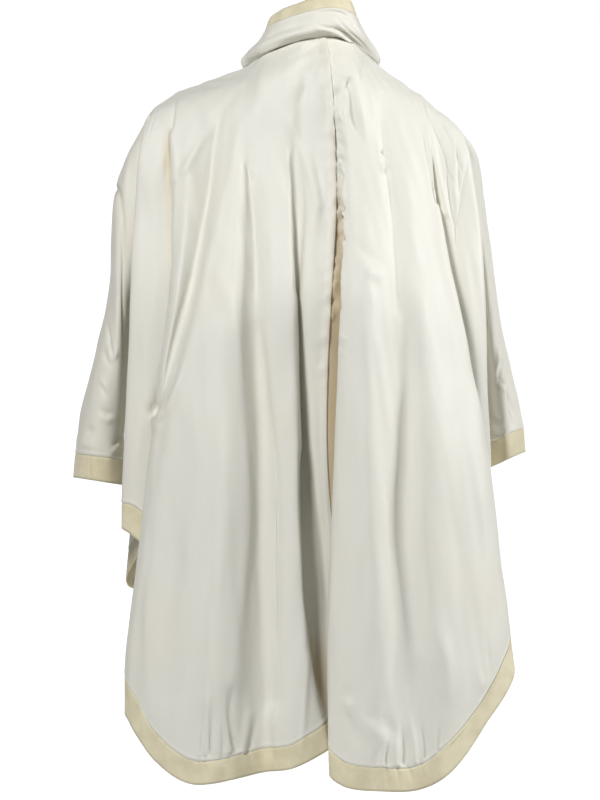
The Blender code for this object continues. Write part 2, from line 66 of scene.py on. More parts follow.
# %% [markdown]
# ## The camera
#
# The cape was photographed level and from a few metres away, so the camera has a long lens. Its
# distance and the width of the picture at the cape give the lens by similar triangles. Lengths
# in this lesson are in millimetres until a mesh is made.

# %% Set up the camera
MM = 0.001
EYE_X = -15.0
EYE_Z = -435.0
EYE_DISTANCE = 4000.0
TRUE_DEPTH = -120.0
VIEW_HEIGHT = 1024.0
SENSOR = 36.0

camera_data = bpy.data.cameras.new("camera")
camera_data.sensor_width = SENSOR
camera_data.lens = SENSOR * EYE_DISTANCE / VIEW_HEIGHT
camera = bpy.data.objects.new("camera", camera_data)
camera.location = (EYE_X * MM, (TRUE_DEPTH - EYE_DISTANCE) * MM, EYE_Z * MM)
camera.rotation_euler = (pi / 2, 0, 0)
bpy.context.scene.collection.objects.link(camera)
bpy.context.scene.camera = camera
print("lens:", round(camera_data.lens, 1), "mm")

# %% [markdown]
# ## Floor and backdrop
#
# A pale sweep of paper stands behind the cape: a floor below it that curves up into a wall. One
# way is two planes, but their corner would show as a line. Here one plane is bent by extruding
# its back edge in a few steps along a wide quarter circle. The wall stands farther off than the
# camera of any view, or it would hide the cape from in front.

# %% Make the sweep of paper
FLOOR_Z = -1.45
SWEEP_HALF_WIDTH = 9.0
SWEEP_FRONT_Y = -14.0
SWEEP_TURN_Y = 3.4
SWEEP_RADIUS = 4.2
SWEEP_TOP_Z = 4.5
TURN_STEPS = 12


def deselect_all():
    bpy.ops.object.select_all(action="DESELECT")


deselect_all()
bpy.ops.mesh.primitive_plane_add(size=2, location=(0, 0, 0))
sweep = bpy.context.object
sweep.name = "paper_sweep"
for vertex in sweep.data.vertices:
    vertex.co.x *= SWEEP_HALF_WIDTH
    vertex.co.y = SWEEP_TURN_Y if vertex.co.y > 0 else SWEEP_FRONT_Y
    vertex.co.z = FLOOR_Z
bpy.ops.object.mode_set(mode="EDIT")
bpy.ops.mesh.select_mode(type="EDGE")
bpy.ops.mesh.select_all(action="DESELECT")
bpy.ops.object.mode_set(mode="OBJECT")
for edge in sweep.data.edges:
    edge.select = all(sweep.data.vertices[i].co.y > 0 for i in edge.vertices)
bpy.ops.object.mode_set(mode="EDIT")
for step in range(TURN_STEPS):
    angles = (step * pi / 2 / TURN_STEPS, (step + 1) * pi / 2 / TURN_STEPS)
    along = SWEEP_RADIUS * (np.sin(angles[1]) - np.sin(angles[0]))
    up = SWEEP_RADIUS * (np.cos(angles[0]) - np.cos(angles[1]))
    bpy.ops.mesh.extrude_region_move(TRANSFORM_OT_translate={"value": (0, along, up)})
wall = SWEEP_TOP_Z - FLOOR_Z - SWEEP_RADIUS
bpy.ops.mesh.extrude_region_move(TRANSFORM_OT_translate={"value": (0, 0, wall)})
bpy.ops.object.mode_set(mode="OBJECT")
sweep.data.shade_smooth()
sweep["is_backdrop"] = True
print("sweep:", len(sweep.data.polygons), "faces")

# %% [markdown]
# ## Studio light
#
# The photograph's light is large and soft: crests are bright, slopes that face right are darkest,
# and the cape dims towards its hem. The key lamp stands above the camera and left of it. A side
# lamp lights the right flank, and a dim sky fills the rest. Two more lamps face away from the
# cape and wash the paper behind it to white.

# %% Hang the lamps
Lamp = namedtuple("Lamp", "name place aim size power")
MIDDLE = (0.0, -0.1, -0.3)
LAMPS = (
    Lamp("key", (-1.4, -2.95, 2.3), MIDDLE, 0.8, 148.0),
    Lamp("side", (3.2, -0.35, 1.0), MIDDLE, 0.7, 92.0),
    Lamp("wall_left", (-2.6, 3.0, 1.9), (-0.5, 6.4, -0.3), 2.0, 170.0),
    Lamp("wall_right", (2.6, 3.0, 1.9), (0.5, 6.4, -0.3), 2.0, 170.0),
)
KEY_COLOUR = (0.97, 0.985, 1.0)
SKY_COLOUR = (1.0, 0.96, 0.88, 1.0)
SKY_STRENGTH = 0.06

for lamp in LAMPS:
    light = bpy.data.lights.new(lamp.name, "AREA")
    light.size = lamp.size
    light.energy = lamp.power
    light.color = KEY_COLOUR
    holder = bpy.data.objects.new(lamp.name, light)
    holder.location = lamp.place
    aim = Vector(lamp.aim) - Vector(lamp.place)
    holder.rotation_euler = aim.to_track_quat("-Z", "Y").to_euler()
    bpy.context.scene.collection.objects.link(holder)
world = bpy.data.worlds.new("studio")
world.use_nodes = True
sky = world.node_tree.nodes["Background"]
sky.inputs["Color"].default_value = SKY_COLOUR
sky.inputs["Strength"].default_value = SKY_STRENGTH
bpy.context.scene.world = world
bpy.context.scene.view_settings.view_transform = "Standard"
print("lamps:", len(LAMPS))

# %% [markdown]
# ## Smooth lines
#
# Every line of the cape, such as a fold, a seam or a crease, is a smooth curve through a few
# knots. These helpers make the curve, measure it and place points along it. A seam's points are
# worked out once and used by both of its pieces, so that no gap opens between them.

# %% Curves through knots
PARTS_BETWEEN_KNOTS = 40


def spline(knots, steps):
    """A smooth curve through the knots, with steps[i] parts between knot i and the next."""
    knots = np.asarray(knots, float)
    gaps = np.sqrt(np.maximum(np.linalg.norm(np.diff(knots, axis=0), axis=1), 1e-6))
    slopes = np.diff(knots, axis=0) / gaps[:, None]
    tangents = np.vstack([slopes[:1], slopes])
    tangents[1:-1] = (slopes[:-1] * gaps[1:, None] + slopes[1:] * gaps[:-1, None]) / (
        gaps[1:, None] + gaps[:-1, None]
    )
    points = [knots[:1]]
    for i, count in enumerate(steps[: len(gaps)]):
        t = (np.arange(1, count + 1) / count)[:, None]
        start = (2 * t**3 - 3 * t**2 + 1) * knots[i] + (t**3 - 2 * t**2 + t) * gaps[i] * tangents[i]
        end = (3 * t**2 - 2 * t**3) * knots[i + 1] + (t**3 - t**2) * gaps[i] * tangents[i + 1]
        points.append(start + end)
    return np.vstack(points)


def lengths_along(line):
    return np.append(0.0, np.cumsum(np.linalg.norm(np.diff(line, axis=0), axis=1)))


def spread(line, lengths):
    """Points of a polyline at the given lengths from its start."""
    along = lengths_along(line)
    return np.column_stack([np.interp(lengths, along, line[:, axis]) for axis in range(3)])


def length_of(line):
    return float(lengths_along(line)[-1])


def fine(knots):
    """A smooth curve through the knots as a polyline of many short parts."""
    return spline(knots, [PARTS_BETWEEN_KNOTS] * (len(knots) - 1))


print("curve points between two knots:", PARTS_BETWEEN_KNOTS)

# %% [markdown]
# ## How fine the cloth is
#
# A crease needs several faces across it, so the sheets have many more rows and columns than the
# solids. A seam needs even more, because its rolled edge is only a few millimetres wide. More
# rows are put in close to a seam instead of everywhere, which keeps each piece light.

# %% Rows and columns
FINER = 8
FINER_ACROSS = {-1: 10, 1: 12}
FINER_BANDS = 4
HEM_BAND = 30.0
PANEL_ROWS = 20 * FINER
ARMHOLE_ROWS = 9 * FINER
BAND_ROWS = 2 * FINER_BANDS
SIDE_COLUMNS = 1 * FINER
SLEEVE_ROWS = 12 * FINER
PANEL_EVENNESS = 0.62
HOOD_ROWS = 5 * FINER
ROWS_BY_A_SEAM = np.array([0.7, 1.5, 2.4, 3.6, 5.2, 7.2, 9.6])


def graded(start, end, rows, seam_at_start, seam_at_end, evenness=1.0):
    """Lengths from start to end, closer at the start where evenness is below 1 and by each seam."""
    shares = np.linspace(0, 1, rows + 1)
    shares = evenness * shares + (1 - evenness) * shares**2
    lengths = [start + (end - start) * shares]
    if seam_at_start:
        lengths.append(start + ROWS_BY_A_SEAM)
    if seam_at_end:
        lengths.append(end - ROWS_BY_A_SEAM)
    return np.sort(np.concatenate(lengths))


print("rows down a panel:", PANEL_ROWS + len(ROWS_BY_A_SEAM))

# %% [markdown]
# ## The back's folds
#
# The back is cut in two halves that meet at the centre. Each hangs in deep soft folds. A cloth
# simulation could make folds, but not these very ones, so each fold is a line read off the cape:
# how far across it lies at a few heights, and how deep. The widths are as they look from the
# camera, and each point is drawn in later by its own distance.

# %% Left half of the back
Fold = namedtuple("Fold", "name top_x across hem_x hem_z depths columns")
LEVELS = (-110, -200, -300, -400, -500, -620, -760)
DEPTH_LEVELS = (-110, -300, -500)

BACK_LEFT_FOLDS = (
    Fold("side_hollow", -203, (-214, -214, -208, -203, -204), -208, -592, (-48, -66, -66, -58), 1),
    Fold("side_turn", -197, (-219, -227, -232, -236, -241), -244, -598, (-64, -98, -102, -98), 2),
    Fold(
        "side_panel", -184, (-201, -202, -207, -216, -224), -231, -608, (-74, -112, -118, -114), 2
    ),
    Fold(
        "lap_under", -172, (-183, -171, -158, -150, -144, -138), -130, -696, (-78, -118, -122, -118), 1
    ),
    Fold(
        "lap_return", -168, (-181, -172, -160, -152, -146, -140),
        -132, -700, (-83, -130, -134, -130), 2,
    ),
    Fold(
        "lap_edge", -163, (-178, -177, -183, -196, -208, -221, -237),
        -239, -828, (-88, -142, -152, -164), 1,
    ),
    Fold(
        "lap_ridge", -146, (-157, -162, -172, -190, -203, -217, -234),
        -234, -848, (-98, -160, -168, -184), 1,
    ),
    Fold(
        "valley_one", -122, (-126, -138, -156, -182, -195, -210, -224),
        -222, -868, (-100, -154, -178, -196), 1,
    ),
    Fold(
        "ridge_one", -106, (-110, -124, -137, -164, -180, -194, -208),
        -200, -898, (-110, -176, -192, -213), 2,
    ),
    Fold(
        "ridge_two", -88, (-96, -98, -106, -118, -127, -127, -136),
        -154, -927, (-118, -188, -216, -238), 3,
    ),
    Fold(
        "valley_two", -62, (-78, -77, -73, -70, -67, -67, -63), -58, -911, (-117, -172, -180, -198), 1
    ),
    Fold(
        "valley_wall", -42, (-62, -60, -58, -55, -53, -52, -50), -44, -910, (-120, -184, -198, -212), 1
    ),
    Fold(
        "ridge_three", -24, (-44, -40, -36, -33, -29, -27, -22), -28, -908, (-123, -190, -204, -220), 1
    ),
    Fold("lip", -13, (-33, -29, -24, -21, -17, -14, -7), -12, -902, (-123, -190, -203, -220), 1),
    Fold("lip_edge", -8, (-27, -23, -18, -16, -12, -9, 2), 20, -884, (-121, -180, -188, -208), 2),
    Fold(
        "floor_left", -3, (-22, -18, -27, -29, -28, -22, 4), 32, -872, (-119, -163, -153, -182), 1
    ),
    Fold(
        "floor_right", 3, (-16, -12, -20, -21, -20, -12, 12), 40, -864, (-119, -162, -150, -174), 1
    ),
    Fold("strip_edge", 9, (-6, -5, -9, -4, 2, 14, 30), 50, -856, (-122, -177, -173, -168), 1),
    Fold("centre_seam", 17, (29, 30, 24, 19, 18, 26, 38), 60, -850, (-125, -181, -174, -160), 0),
)
print("left folds:", len(BACK_LEFT_FOLDS))

# %% [markdown]
# ## The pleat beside the seam
#
# The right half starts at the centre seam, goes under in a knife pleat and comes out again at the
# pleat's edge. It uses the same kind of row as the left half, so both are built by one function.

# %% Right half of the back
BACK_RIGHT_FOLDS = (
    Fold("centre_seam", 17, (29, 30, 24, 19, 18, 26, 38), 60, -850, (-125, -181, -174, -160), 1),
    Fold("pleat_under", 22, (34, 46, 55, 58, 60, 62, 70), 80, -862, (-125, -172, -166, -160), 1),
    Fold("pleat_return", 26, (38, 45, 54, 57, 58, 60, 66), 74, -880, (-126, -182, -178, -174), 1),
    Fold("pleat_edge", 31, (43, 40, 37, 33, 29, 24, 20), 22, -912, (-127, -190, -194, -206), 1),
    Fold("pleat_face", 38, (53, 52, 48, 45, 42, 38, 36), 41, -930, (-128, -200, -211, -226), 1),
    Fold("ridge_four", 52, (66, 67, 69, 71, 72, 73, 77), 86, -936, (-128, -204, -222, -241), 2),
    Fold(
        "valley_four", 84, (91, 101, 103, 113, 116, 118, 126), 138, -934, (-118, -184, -206, -233), 2
    ),
    Fold(
        "right_crest", 102, (118, 128, 138, 150, 160, 168, 176), 176, -914, (-108, -178, -210, -230), 2
    ),
    Fold(
        "right_flank", 120, (138, 150, 169, 187, 203, 217, 230), 220, -855, (-94, -156, -184, -206), 1
    ),
    Fold(
        "lap_edge", 130, (149, 165, 186, 207, 224, 239, 256), 259, -772, (-87, -141, -152, -166), 2
    ),
    Fold("lap_return", 135, (151, 160, 164, 166, 165, 160), 154, -692, (-82, -130, -134, -130), 1),
    Fold("lap_under", 139, (153, 159, 162, 164, 163, 158), 152, -688, (-78, -118, -122, -118), 2),
    Fold("side_panel", 156, (175, 192, 204, 212, 217), 220, -612, (-74, -112, -118, -114), 2),
    Fold("side_turn", 175, (199, 214, 222, 225, 228), 230, -598, (-64, -98, -102, -98), 1),
    Fold("side_hollow", 182, (198, 202, 200, 196, 196), 200, -592, (-44, -66, -66, -58), 1),
)
print("right folds:", len(BACK_RIGHT_FOLDS))

# %% [markdown]
# ## The hidden front
#
# Nothing of the front shows in the photograph but the corner of a hem. It is finished plainly:
# two halves that meet at the centre, with three soft folds each.

# %% Front folds
FRONT_FOLDS = (
    Fold("side_turn", 193, (200, 210, 212, 214, 222), 236, -672, (62, 96, 106, 114), 2),
    Fold("side_valley", 168, (170, 176, 180, 184, 190), 196, -682, (70, 98, 110, 122), 2),
    Fold("side_ridge", 132, (130, 136, 141, 146, 151), 156, -690, (84, 128, 154, 182), 2),
    Fold("neck_valley", 88, (91, 93, 96, 99, 103), 106, -694, (98, 124, 136, 150), 3),
    Fold("neck_ridge", 44, (48, 50, 53, 56, 60), 62, -696, (110, 144, 168, 192), 3),
    Fold("centre_front", 0, (0, 0, 0, 0, 0), 0, -692, (110, 132, 148, 164), 0),
)
print("front folds:", len(FRONT_FOLDS))

# %% [markdown]
# ## Shoulders, neckline and armholes
#
# These edges join the pieces. The two shoulders slope differently in the photograph. The
# neckline is an oval seen from above, which a formula gives. An armhole has a back and a front
# edge, and the side seam carries on below it down to the hem.

# %% Shoulders and neckline
Shoulder = namedtuple("Shoulder", "across height")
LEFT_SHOULDER = Shoulder(
    (-207, -195, -187, -172, -152, -123, -88),
    (-67, -55, -50, -41, -33, -23, -9),
)
RIGHT_SHOULDER = Shoulder(
    (84, 96, 110, 128, 141, 155, 168, 178, 189),
    (-4, -15, -23, -36, -46, -58, -68, -77, -88),
)

NECK_CENTRE_X = -2.0
NECK_CENTRE_Y = 6.0
NECK_HALF_WIDTH = 86.5
NECK_BACK_DEPTH = 72.0
NECK_FRONT_DEPTH = 80.0
NECK_TOP_X = 24.0
NECK_TOP_Z = 29.5
NECK_FALL_LEFT = 0.0031
NECK_FALL_RIGHT = 0.0093
FRONT_NECK_Z = -48.0
print("neck width:", 2 * NECK_HALF_WIDTH, "mm")

# %% [markdown]
# ## Where back and front meet
#
# A back panel and a front panel share the armhole's ends and the side seam. Each edge is given
# once, as a line through a few knots, and both panels and the sleeve start from it.

# %% Armholes and side seams
Seam = namedtuple("Seam", "across depth height")
ARMHOLE_BACK_LEFT = Seam(
    (-207, -212, -213, -208, -202, -199),
    (0, -30, -48, -48, -32, -2),
    (-67, -105, -160, -220, -275, -300),
)
ARMHOLE_FRONT_LEFT = Seam(
    (-207, -209, -208, -205, -201, -199),
    (0, 30, 50, 50, 30, -2),
    (-67, -105, -160, -220, -275, -300),
)
SIDE_SEAM_LEFT = Seam(
    (-199, -190, -184, -186, -194),
    (-2, 2, 4, 2, 0),
    (-300, -335, -400, -500, -592),
)
ARMHOLE_BACK_RIGHT = Seam(
    (189, 200, 203, 200, 195, 192),
    (0, -30, -48, -48, -32, -2),
    (-88, -120, -170, -225, -280, -303),
)
ARMHOLE_FRONT_RIGHT = Seam(
    (189, 198, 200, 198, 194, 192),
    (0, 30, 50, 50, 30, -2),
    (-88, -120, -170, -225, -280, -303),
)
SIDE_SEAM_RIGHT = Seam(
    (192, 183, 178, 179, 184),
    (-2, 2, 4, 2, 0),
    (-303, -338, -400, -500, -592),
)


def seam_line(seam):
    return fine(np.column_stack([seam.across, seam.depth, seam.height]))


print("left side seam:", round(length_of(seam_line(SIDE_SEAM_LEFT))), "mm")

# %% [markdown]
# ## From fold lines to a panel
#
# Each fold becomes a curve from the top edge down to the hem. Points are spread evenly down it,
# and a smooth curve across the folds then joins the points of one row. The last 30 mm of every
# line belong to the khaki band, whose first row is the panel's last.

# %% Top edges and fold lines
OVER_THE_SHOULDER = (0.45, 0.62, 0.28)
LEAST_ABOVE_HEM = 25.0
LEAST_HEM_SLANT = 0.6
SETTLING_SHARE = 0.3


def back_top(x):
    """The back's top edge: the neckline between the shoulder seams, and the shoulders beyond it."""
    if x < LEFT_SHOULDER.across[-1]:
        return np.array([x, 0.0, np.interp(x, *LEFT_SHOULDER)])
    if x > RIGHT_SHOULDER.across[0]:
        return np.array([x, 0.0, np.interp(x, *RIGHT_SHOULDER)])
    share = (x - NECK_CENTRE_X) / NECK_HALF_WIDTH
    y = NECK_CENTRE_Y - NECK_BACK_DEPTH * np.sqrt(max(1 - share**2, 0.0))
    fall = NECK_FALL_LEFT if x < NECK_TOP_X else NECK_FALL_RIGHT
    return np.array([x, min(y, 0.0), NECK_TOP_Z - fall * (x - NECK_TOP_X) ** 2])


def front_top(x, side):
    """The front's top edge on one side. It follows the shoulder, then dips round the neck."""
    shoulder = LEFT_SHOULDER if side < 0 else RIGHT_SHOULDER
    neck_x = min(shoulder.across, key=abs)
    neck_z = np.interp(neck_x, *shoulder)
    if x >= abs(neck_x):
        return np.array([side * x, 0.0, np.interp(side * x, *shoulder)])
    share = x / abs(neck_x)
    round_the_neck = np.sqrt(1 - share**2)
    y = (NECK_CENTRE_Y + NECK_FRONT_DEPTH) * round_the_neck
    return np.array([side * x, y, neck_z + (FRONT_NECK_Z - neck_z) * round_the_neck])


def fold_line(fold, top, side=1):
    """A fold as a fine curve: off the top edge, over the shoulder's roundness, down to the hem."""
    depth_heights = [fold.hem_z, *reversed(DEPTH_LEVELS)]
    depths = list(reversed(fold.depths))
    knots = [top]
    first = np.array([side * fold.across[0], fold.depths[0], LEVELS[0]])
    knots.append(top + (first - top) * OVER_THE_SHOULDER)
    for x, z in zip(fold.across, LEVELS):
        if z > fold.hem_z + LEAST_ABOVE_HEM:
            knots.append((side * x, np.interp(z, depth_heights, depths), z))
    knots.append((side * fold.hem_x, fold.depths[-1], fold.hem_z))
    return fine(knots)


def band_lengths(lines):
    """How long the hem band is along each line, so that it keeps its width on a slanting hem."""
    ends = np.array([line[-1] for line in lines])
    lengths = np.full(len(lines), HEM_BAND)
    for i in range(1, len(lines) - 1):
        down = spread(lines[i], [length_of(lines[i]) - HEM_BAND])[0] - lines[i][-1]
        hem = ends[i + 1] - ends[i - 1]
        slant = np.linalg.norm(np.cross(down, hem)) / np.linalg.norm(down) / np.linalg.norm(hem)
        lengths[i] = HEM_BAND / max(slant, LEAST_HEM_SLANT)
    return lengths


print("left shoulder point:", back_top(LEFT_SHOULDER.across[0]).round())

# %% [markdown]
# ## From fold lines to a grid
#
# A panel is a grid of points: fold lines run down it, and columns are spread between them. The
# last rows, below the hem seam, are the khaki band, a piece of its own on the same grid.

# %% Panels and their hem bands
def panel_sheets(side_lines, folds, lines, side_first, finer):
    """A panel and its hem band, as two grids of points that share the row of their seam.

    side_lines are the armhole edge and the side seam, which together make the panel's side.
    finer is how many columns each of the folds' columns becomes.
    """
    armhole, side_seam = side_lines
    side_rows = [spread(armhole, np.linspace(0, length_of(armhole), ARMHOLE_ROWS + 1))]
    seam_length = length_of(side_seam)
    rows_below = PANEL_ROWS - ARMHOLE_ROWS
    side_rows.append(
        spread(side_seam, graded(0, seam_length - HEM_BAND, rows_below, False, True)[1:])
    )
    band = graded(seam_length - HEM_BAND, seam_length, BAND_ROWS, True, False)
    side_column = np.vstack(side_rows), spread(side_seam, band)

    everything = [side_seam, *lines] if side_first else [*lines, side_seam]
    bands = band_lengths(everything)
    bands = bands[1:] if side_first else bands[:-1]
    columns = []
    for line, band_length in zip(lines, bands):
        whole = length_of(line)
        seam = whole - band_length
        panel = spread(line, graded(0, seam, PANEL_ROWS, False, True, PANEL_EVENNESS))
        columns.append((panel, spread(line, graded(seam, whole, BAND_ROWS, True, False))))
    steps = [finer * fold.columns for fold in folds]
    if side_first:
        columns.insert(0, side_column)
        steps = [SIDE_COLUMNS, *steps]
    else:
        columns.append(side_column)
    sheets = []
    for part in (0, 1):
        rows = zip(*(column[part] for column in columns))
        sheets.append(np.array([spline(row, steps) for row in rows]))
    return sheets


def left_shoulder_columns():
    """How many columns of the back lie between the left shoulder's outer end and the neck."""
    neck_x = LEFT_SHOULDER.across[-1]
    return SIDE_COLUMNS + FINER_ACROSS[-1] * sum(
        f.columns for f in BACK_LEFT_FOLDS if f.top_x < neck_x
    )


def right_shoulder_columns():
    """How many columns of the back lie between the neck and the right shoulder's outer end."""
    neck_x = RIGHT_SHOULDER.across[0]
    return FINER_ACROSS[1] * sum(f.columns for f in BACK_RIGHT_FOLDS if f.top_x >= neck_x)


def back_sheets():
    left_lines = [fold_line(fold, back_top(fold.top_x)) for fold in BACK_LEFT_FOLDS]
    right_lines = [fold_line(fold, back_top(fold.top_x)) for fold in BACK_RIGHT_FOLDS]
    left_sides = seam_line(ARMHOLE_BACK_LEFT), seam_line(SIDE_SEAM_LEFT)
    right_sides = seam_line(ARMHOLE_BACK_RIGHT), seam_line(SIDE_SEAM_RIGHT)
    left = panel_sheets(left_sides, BACK_LEFT_FOLDS, left_lines, True, FINER_ACROSS[-1])
    right = panel_sheets(right_sides, BACK_RIGHT_FOLDS, right_lines, False, FINER_ACROSS[1])
    return left, right


back_left, back_right = back_sheets()
print("left back:", back_left[0].shape[:2], "right back:", back_right[0].shape[:2])

# %% [markdown]
# ## Fronts
#
# A front's shoulder edge is the back's own row of points, so the shoulder seam closes exactly.
# The front's rows then leave that edge gradually and run on into its own folds.

# %% Front panels
def settle(sheet, edge):
    """Moves the first columns of the top row onto the edge, fading out in the rows below it."""
    shift = np.zeros((sheet.shape[1], 3))
    shift[: len(edge)] = edge - sheet[0, : len(edge)]
    rows = SETTLING_SHARE * PANEL_ROWS
    fade = np.clip(1 - np.arange(len(sheet)) / rows, 0, 1)[:, None, None]
    sheet += shift * fade * fade * (3 - 2 * fade)


def with_shoulder_columns(folds, count):
    """The front's folds with as many columns on the shoulder as the back has."""
    first, second, third, *rest = folds
    spare = count - SIDE_COLUMNS
    shares = [spare // 3, (spare + 1) // 3, (spare + 2) // 3]
    beside = [fold._replace(columns=share) for fold, share in zip((first, second, third), shares)]
    return (*beside, *(fold._replace(columns=FINER * fold.columns) for fold in rest))


def front_sheets(side, back):
    """One front, whose shoulder edge is the back's own. Columns run from the side to the centre."""
    lines = [fold_line(fold, front_top(fold.top_x, side), side) for fold in FRONT_FOLDS]
    if side < 0:
        armhole, side_seam = seam_line(ARMHOLE_FRONT_LEFT), seam_line(SIDE_SEAM_LEFT)
        shoulder = back[0][0, : left_shoulder_columns() + 1]
    else:
        armhole, side_seam = seam_line(ARMHOLE_FRONT_RIGHT), seam_line(SIDE_SEAM_RIGHT)
        shoulder = back[0][0, ::-1][: right_shoulder_columns() + 1]
    folds = with_shoulder_columns(FRONT_FOLDS, len(shoulder) - 1)
    sheet, band = panel_sheets((armhole, side_seam), folds, lines, True, 1)
    settle(sheet, shoulder)
    if side < 0:
        return sheet[:, ::-1], band[:, ::-1]
    return sheet, band


front_left = front_sheets(-1, back_left)
front_right = front_sheets(1, back_right)
print("fronts:", front_left[0].shape[:2], front_right[0].shape[:2])

# %% [markdown]
# ## Sleeves and cuffs
#
# A sleeve is a tube from the armhole to its khaki cuff. It is lofted through rings: the first is
# the armhole itself, the others are ovals given by their outer and inner edges.

# %% Sleeves
Section = namedtuple("Section", "outer_x outer_z inner_x inner_z half_depth middle_y")
LEFT_SLEEVE = (
    Section(-229, -110, -221, -306, 49, 1),
    Section(-251, -164, -229, -326, 49, 2),
    Section(-256, -230, -232, -356, 50, 4),
    Section(-258, -285, -234, -390, 51, 6),
    Section(-275, -364, -236, -432, 52, 8),
    Section(-296, -452, -239, -482, 53, 10),
    Section(-303, -504, -240, -512, 53, 10),
    Section(-305, -534, -241, -544, 53, 10),
)
RIGHT_SLEEVE = (
    Section(209, -116, 213, -309, 48, 1),
    Section(219, -166, 218, -328, 49, 2),
    Section(225, -215, 220, -356, 50, 4),
    Section(233, -275, 221, -388, 52, 6),
    Section(246, -352, 222, -424, 54, 8),
    Section(265, -436, 223, -464, 56, 10),
    Section(272, -470, 223, -492, 56, 10),
    Section(274, -501, 224, -523, 56, 10),
)


def armhole_ring(back, front):
    """The armhole's points, from the shoulder down the first edge and up the second."""
    down = back[: ARMHOLE_ROWS + 1]
    return np.vstack([down, front[:ARMHOLE_ROWS][::-1]])


def sleeve_sheets(armhole, sections, side):
    """A sleeve and its cuff, as rings of points that start and end at the sleeve's outer edge."""
    half = ARMHOLE_ROWS
    angles = np.pi * np.arange(2 * half + 1) / half
    rings = [armhole]
    for section in sections:
        outer = np.array([section.outer_x, section.middle_y, section.outer_z])
        inner = np.array([section.inner_x, section.middle_y, section.inner_z])
        across = np.cos(angles)[:, None] * (outer - inner) / 2
        depth = side * np.sin(angles)[:, None] * np.array([0, section.half_depth, 0])
        rings.append((outer + inner) / 2 + across + depth)
    rings = np.array(rings)
    sleeve, cuff = [], []
    for column in range(rings.shape[1]):
        body = fine(rings[:-1, column])
        sleeve.append(spread(body, graded(0, length_of(body), SLEEVE_ROWS, False, True)))
        end = rings[-2:, column]
        cuff.append(spread(end, graded(0, length_of(end), BAND_ROWS, True, False)))
    return np.array(sleeve).transpose(1, 0, 2), np.array(cuff).transpose(1, 0, 2)


left_armhole = armhole_ring(back_left[0][:, 0], front_left[0][:, -1])
right_armhole = armhole_ring(front_right[0][:, 0], back_right[0][:, -1])
sleeve_left, cuff_left = sleeve_sheets(left_armhole, LEFT_SLEEVE, -1)
sleeve_right, cuff_right = sleeve_sheets(right_armhole, RIGHT_SLEEVE, 1)
print("sleeve rings:", len(sleeve_left), "of", sleeve_left.shape[1], "points")

# %% [markdown]
# ## The hood
#
# The hood is pushed back and stands round the neck as a soft funnel, with a khaki band on its
# edge. It starts on the neckline's own points, swells out a little over the seam and closes in
# to the band.

# %% Hood and band
HoodLine = namedtuple("HoodLine", "name share seam edge")
HOOD_LINES = (
    HoodLine("throat_left", 0.00, (-1, 86, -27), (-2, 78, -5)),
    HoodLine("front_left", 0.16, (-54, 54, -3), (-50, 44, 16)),
    HoodLine("side_left", 0.29, (-61, 0, 34), (-55, -8, 52)),
    HoodLine("nape_left", 0.40, (-34, -52, 54), (-29, -40, 69)),
    HoodLine("nape", 0.52, (24, -60, 68), (25, -46, 84)),
    HoodLine("nape_right", 0.62, (52, -42, 61), (46, -34, 78)),
    HoodLine("side_right", 0.71, (59, 2, 50), (52, -5, 72)),
    HoodLine("front_right", 0.84, (52, 54, 2), (47, 44, 22)),
    HoodLine("throat_right", 1.00, (1, 86, -27), (2, 78, -5)),
)
HOOD_SWELL_BACK = 9.0
HOOD_SWELL_SIDE = 2.0
HOOD_SWELL_HEIGHT = 9.0
THROAT_PARTING = 0.8


def unit(vectors):
    return vectors / np.maximum(np.linalg.norm(vectors, axis=-1, keepdims=True), 1e-12)


def hood_sheets(neckline):
    """The hood and its band, on the neckline's own points. Rows run from the top down."""
    shares = lengths_along(neckline)
    shares /= shares[-1]
    table_shares = [line.share for line in HOOD_LINES]

    def ring(values):
        curve = fine(values)
        knots_along = np.arange(len(curve)) / PARTS_BETWEEN_KNOTS
        curve_shares = np.interp(knots_along, np.arange(len(values)), table_shares)
        return np.column_stack(
            [np.interp(shares, curve_shares, curve[:, axis]) for axis in range(3)]
        )

    outward = unit((neckline - (NECK_CENTRE_X, NECK_CENTRE_Y, 0)) * (1, 1, 0))
    swell = HOOD_SWELL_SIDE + (HOOD_SWELL_BACK - HOOD_SWELL_SIDE) * np.maximum(-outward[:, 1:2], 0)
    low = neckline + outward * swell + (0, 0, HOOD_SWELL_HEIGHT)
    low[0, 0] -= THROAT_PARTING
    low[-1, 0] += THROAT_PARTING
    seam = ring([line.seam for line in HOOD_LINES])
    edge = ring([line.edge for line in HOOD_LINES])
    hood, band = [], []
    for column in range(len(neckline)):
        line = fine([seam[column], low[column], neckline[column]])
        hood.append(spread(line, graded(0, length_of(line), HOOD_ROWS, True, False)))
        top = np.array([edge[column], seam[column]])
        band.append(spread(top, graded(0, length_of(top), BAND_ROWS, False, True)))
    return np.array(hood).transpose(1, 0, 2), np.array(band).transpose(1, 0, 2)


neckline = np.vstack([
    front_left[0][0, : -left_shoulder_columns() - 1],
    back_left[0][0, left_shoulder_columns():],
    back_right[0][0, 1 : -right_shoulder_columns()],
    front_right[0][0, right_shoulder_columns() + 1 :],
])
hood, hood_band = hood_sheets(neckline)
print("neckline points:", len(neckline))

# %% [markdown]
# ## All the sheets together
#
# The sheets are kept in one table by the name of the solid that each replaces. "As seen" points
# stay for placing the creases, and "true" points are drawn in by their distance to the camera.

# %% Gather the sheets
def true_place(points):
    """Turns widths and heights as they look into real ones, by each point's own distance."""
    scale = (EYE_DISTANCE + points[..., 1] - TRUE_DEPTH) / EYE_DISTANCE
    placed = points.copy()
    placed[..., 0] = EYE_X + (points[..., 0] - EYE_X) * scale
    placed[..., 2] = EYE_Z + (points[..., 2] - EYE_Z) * scale
    return placed


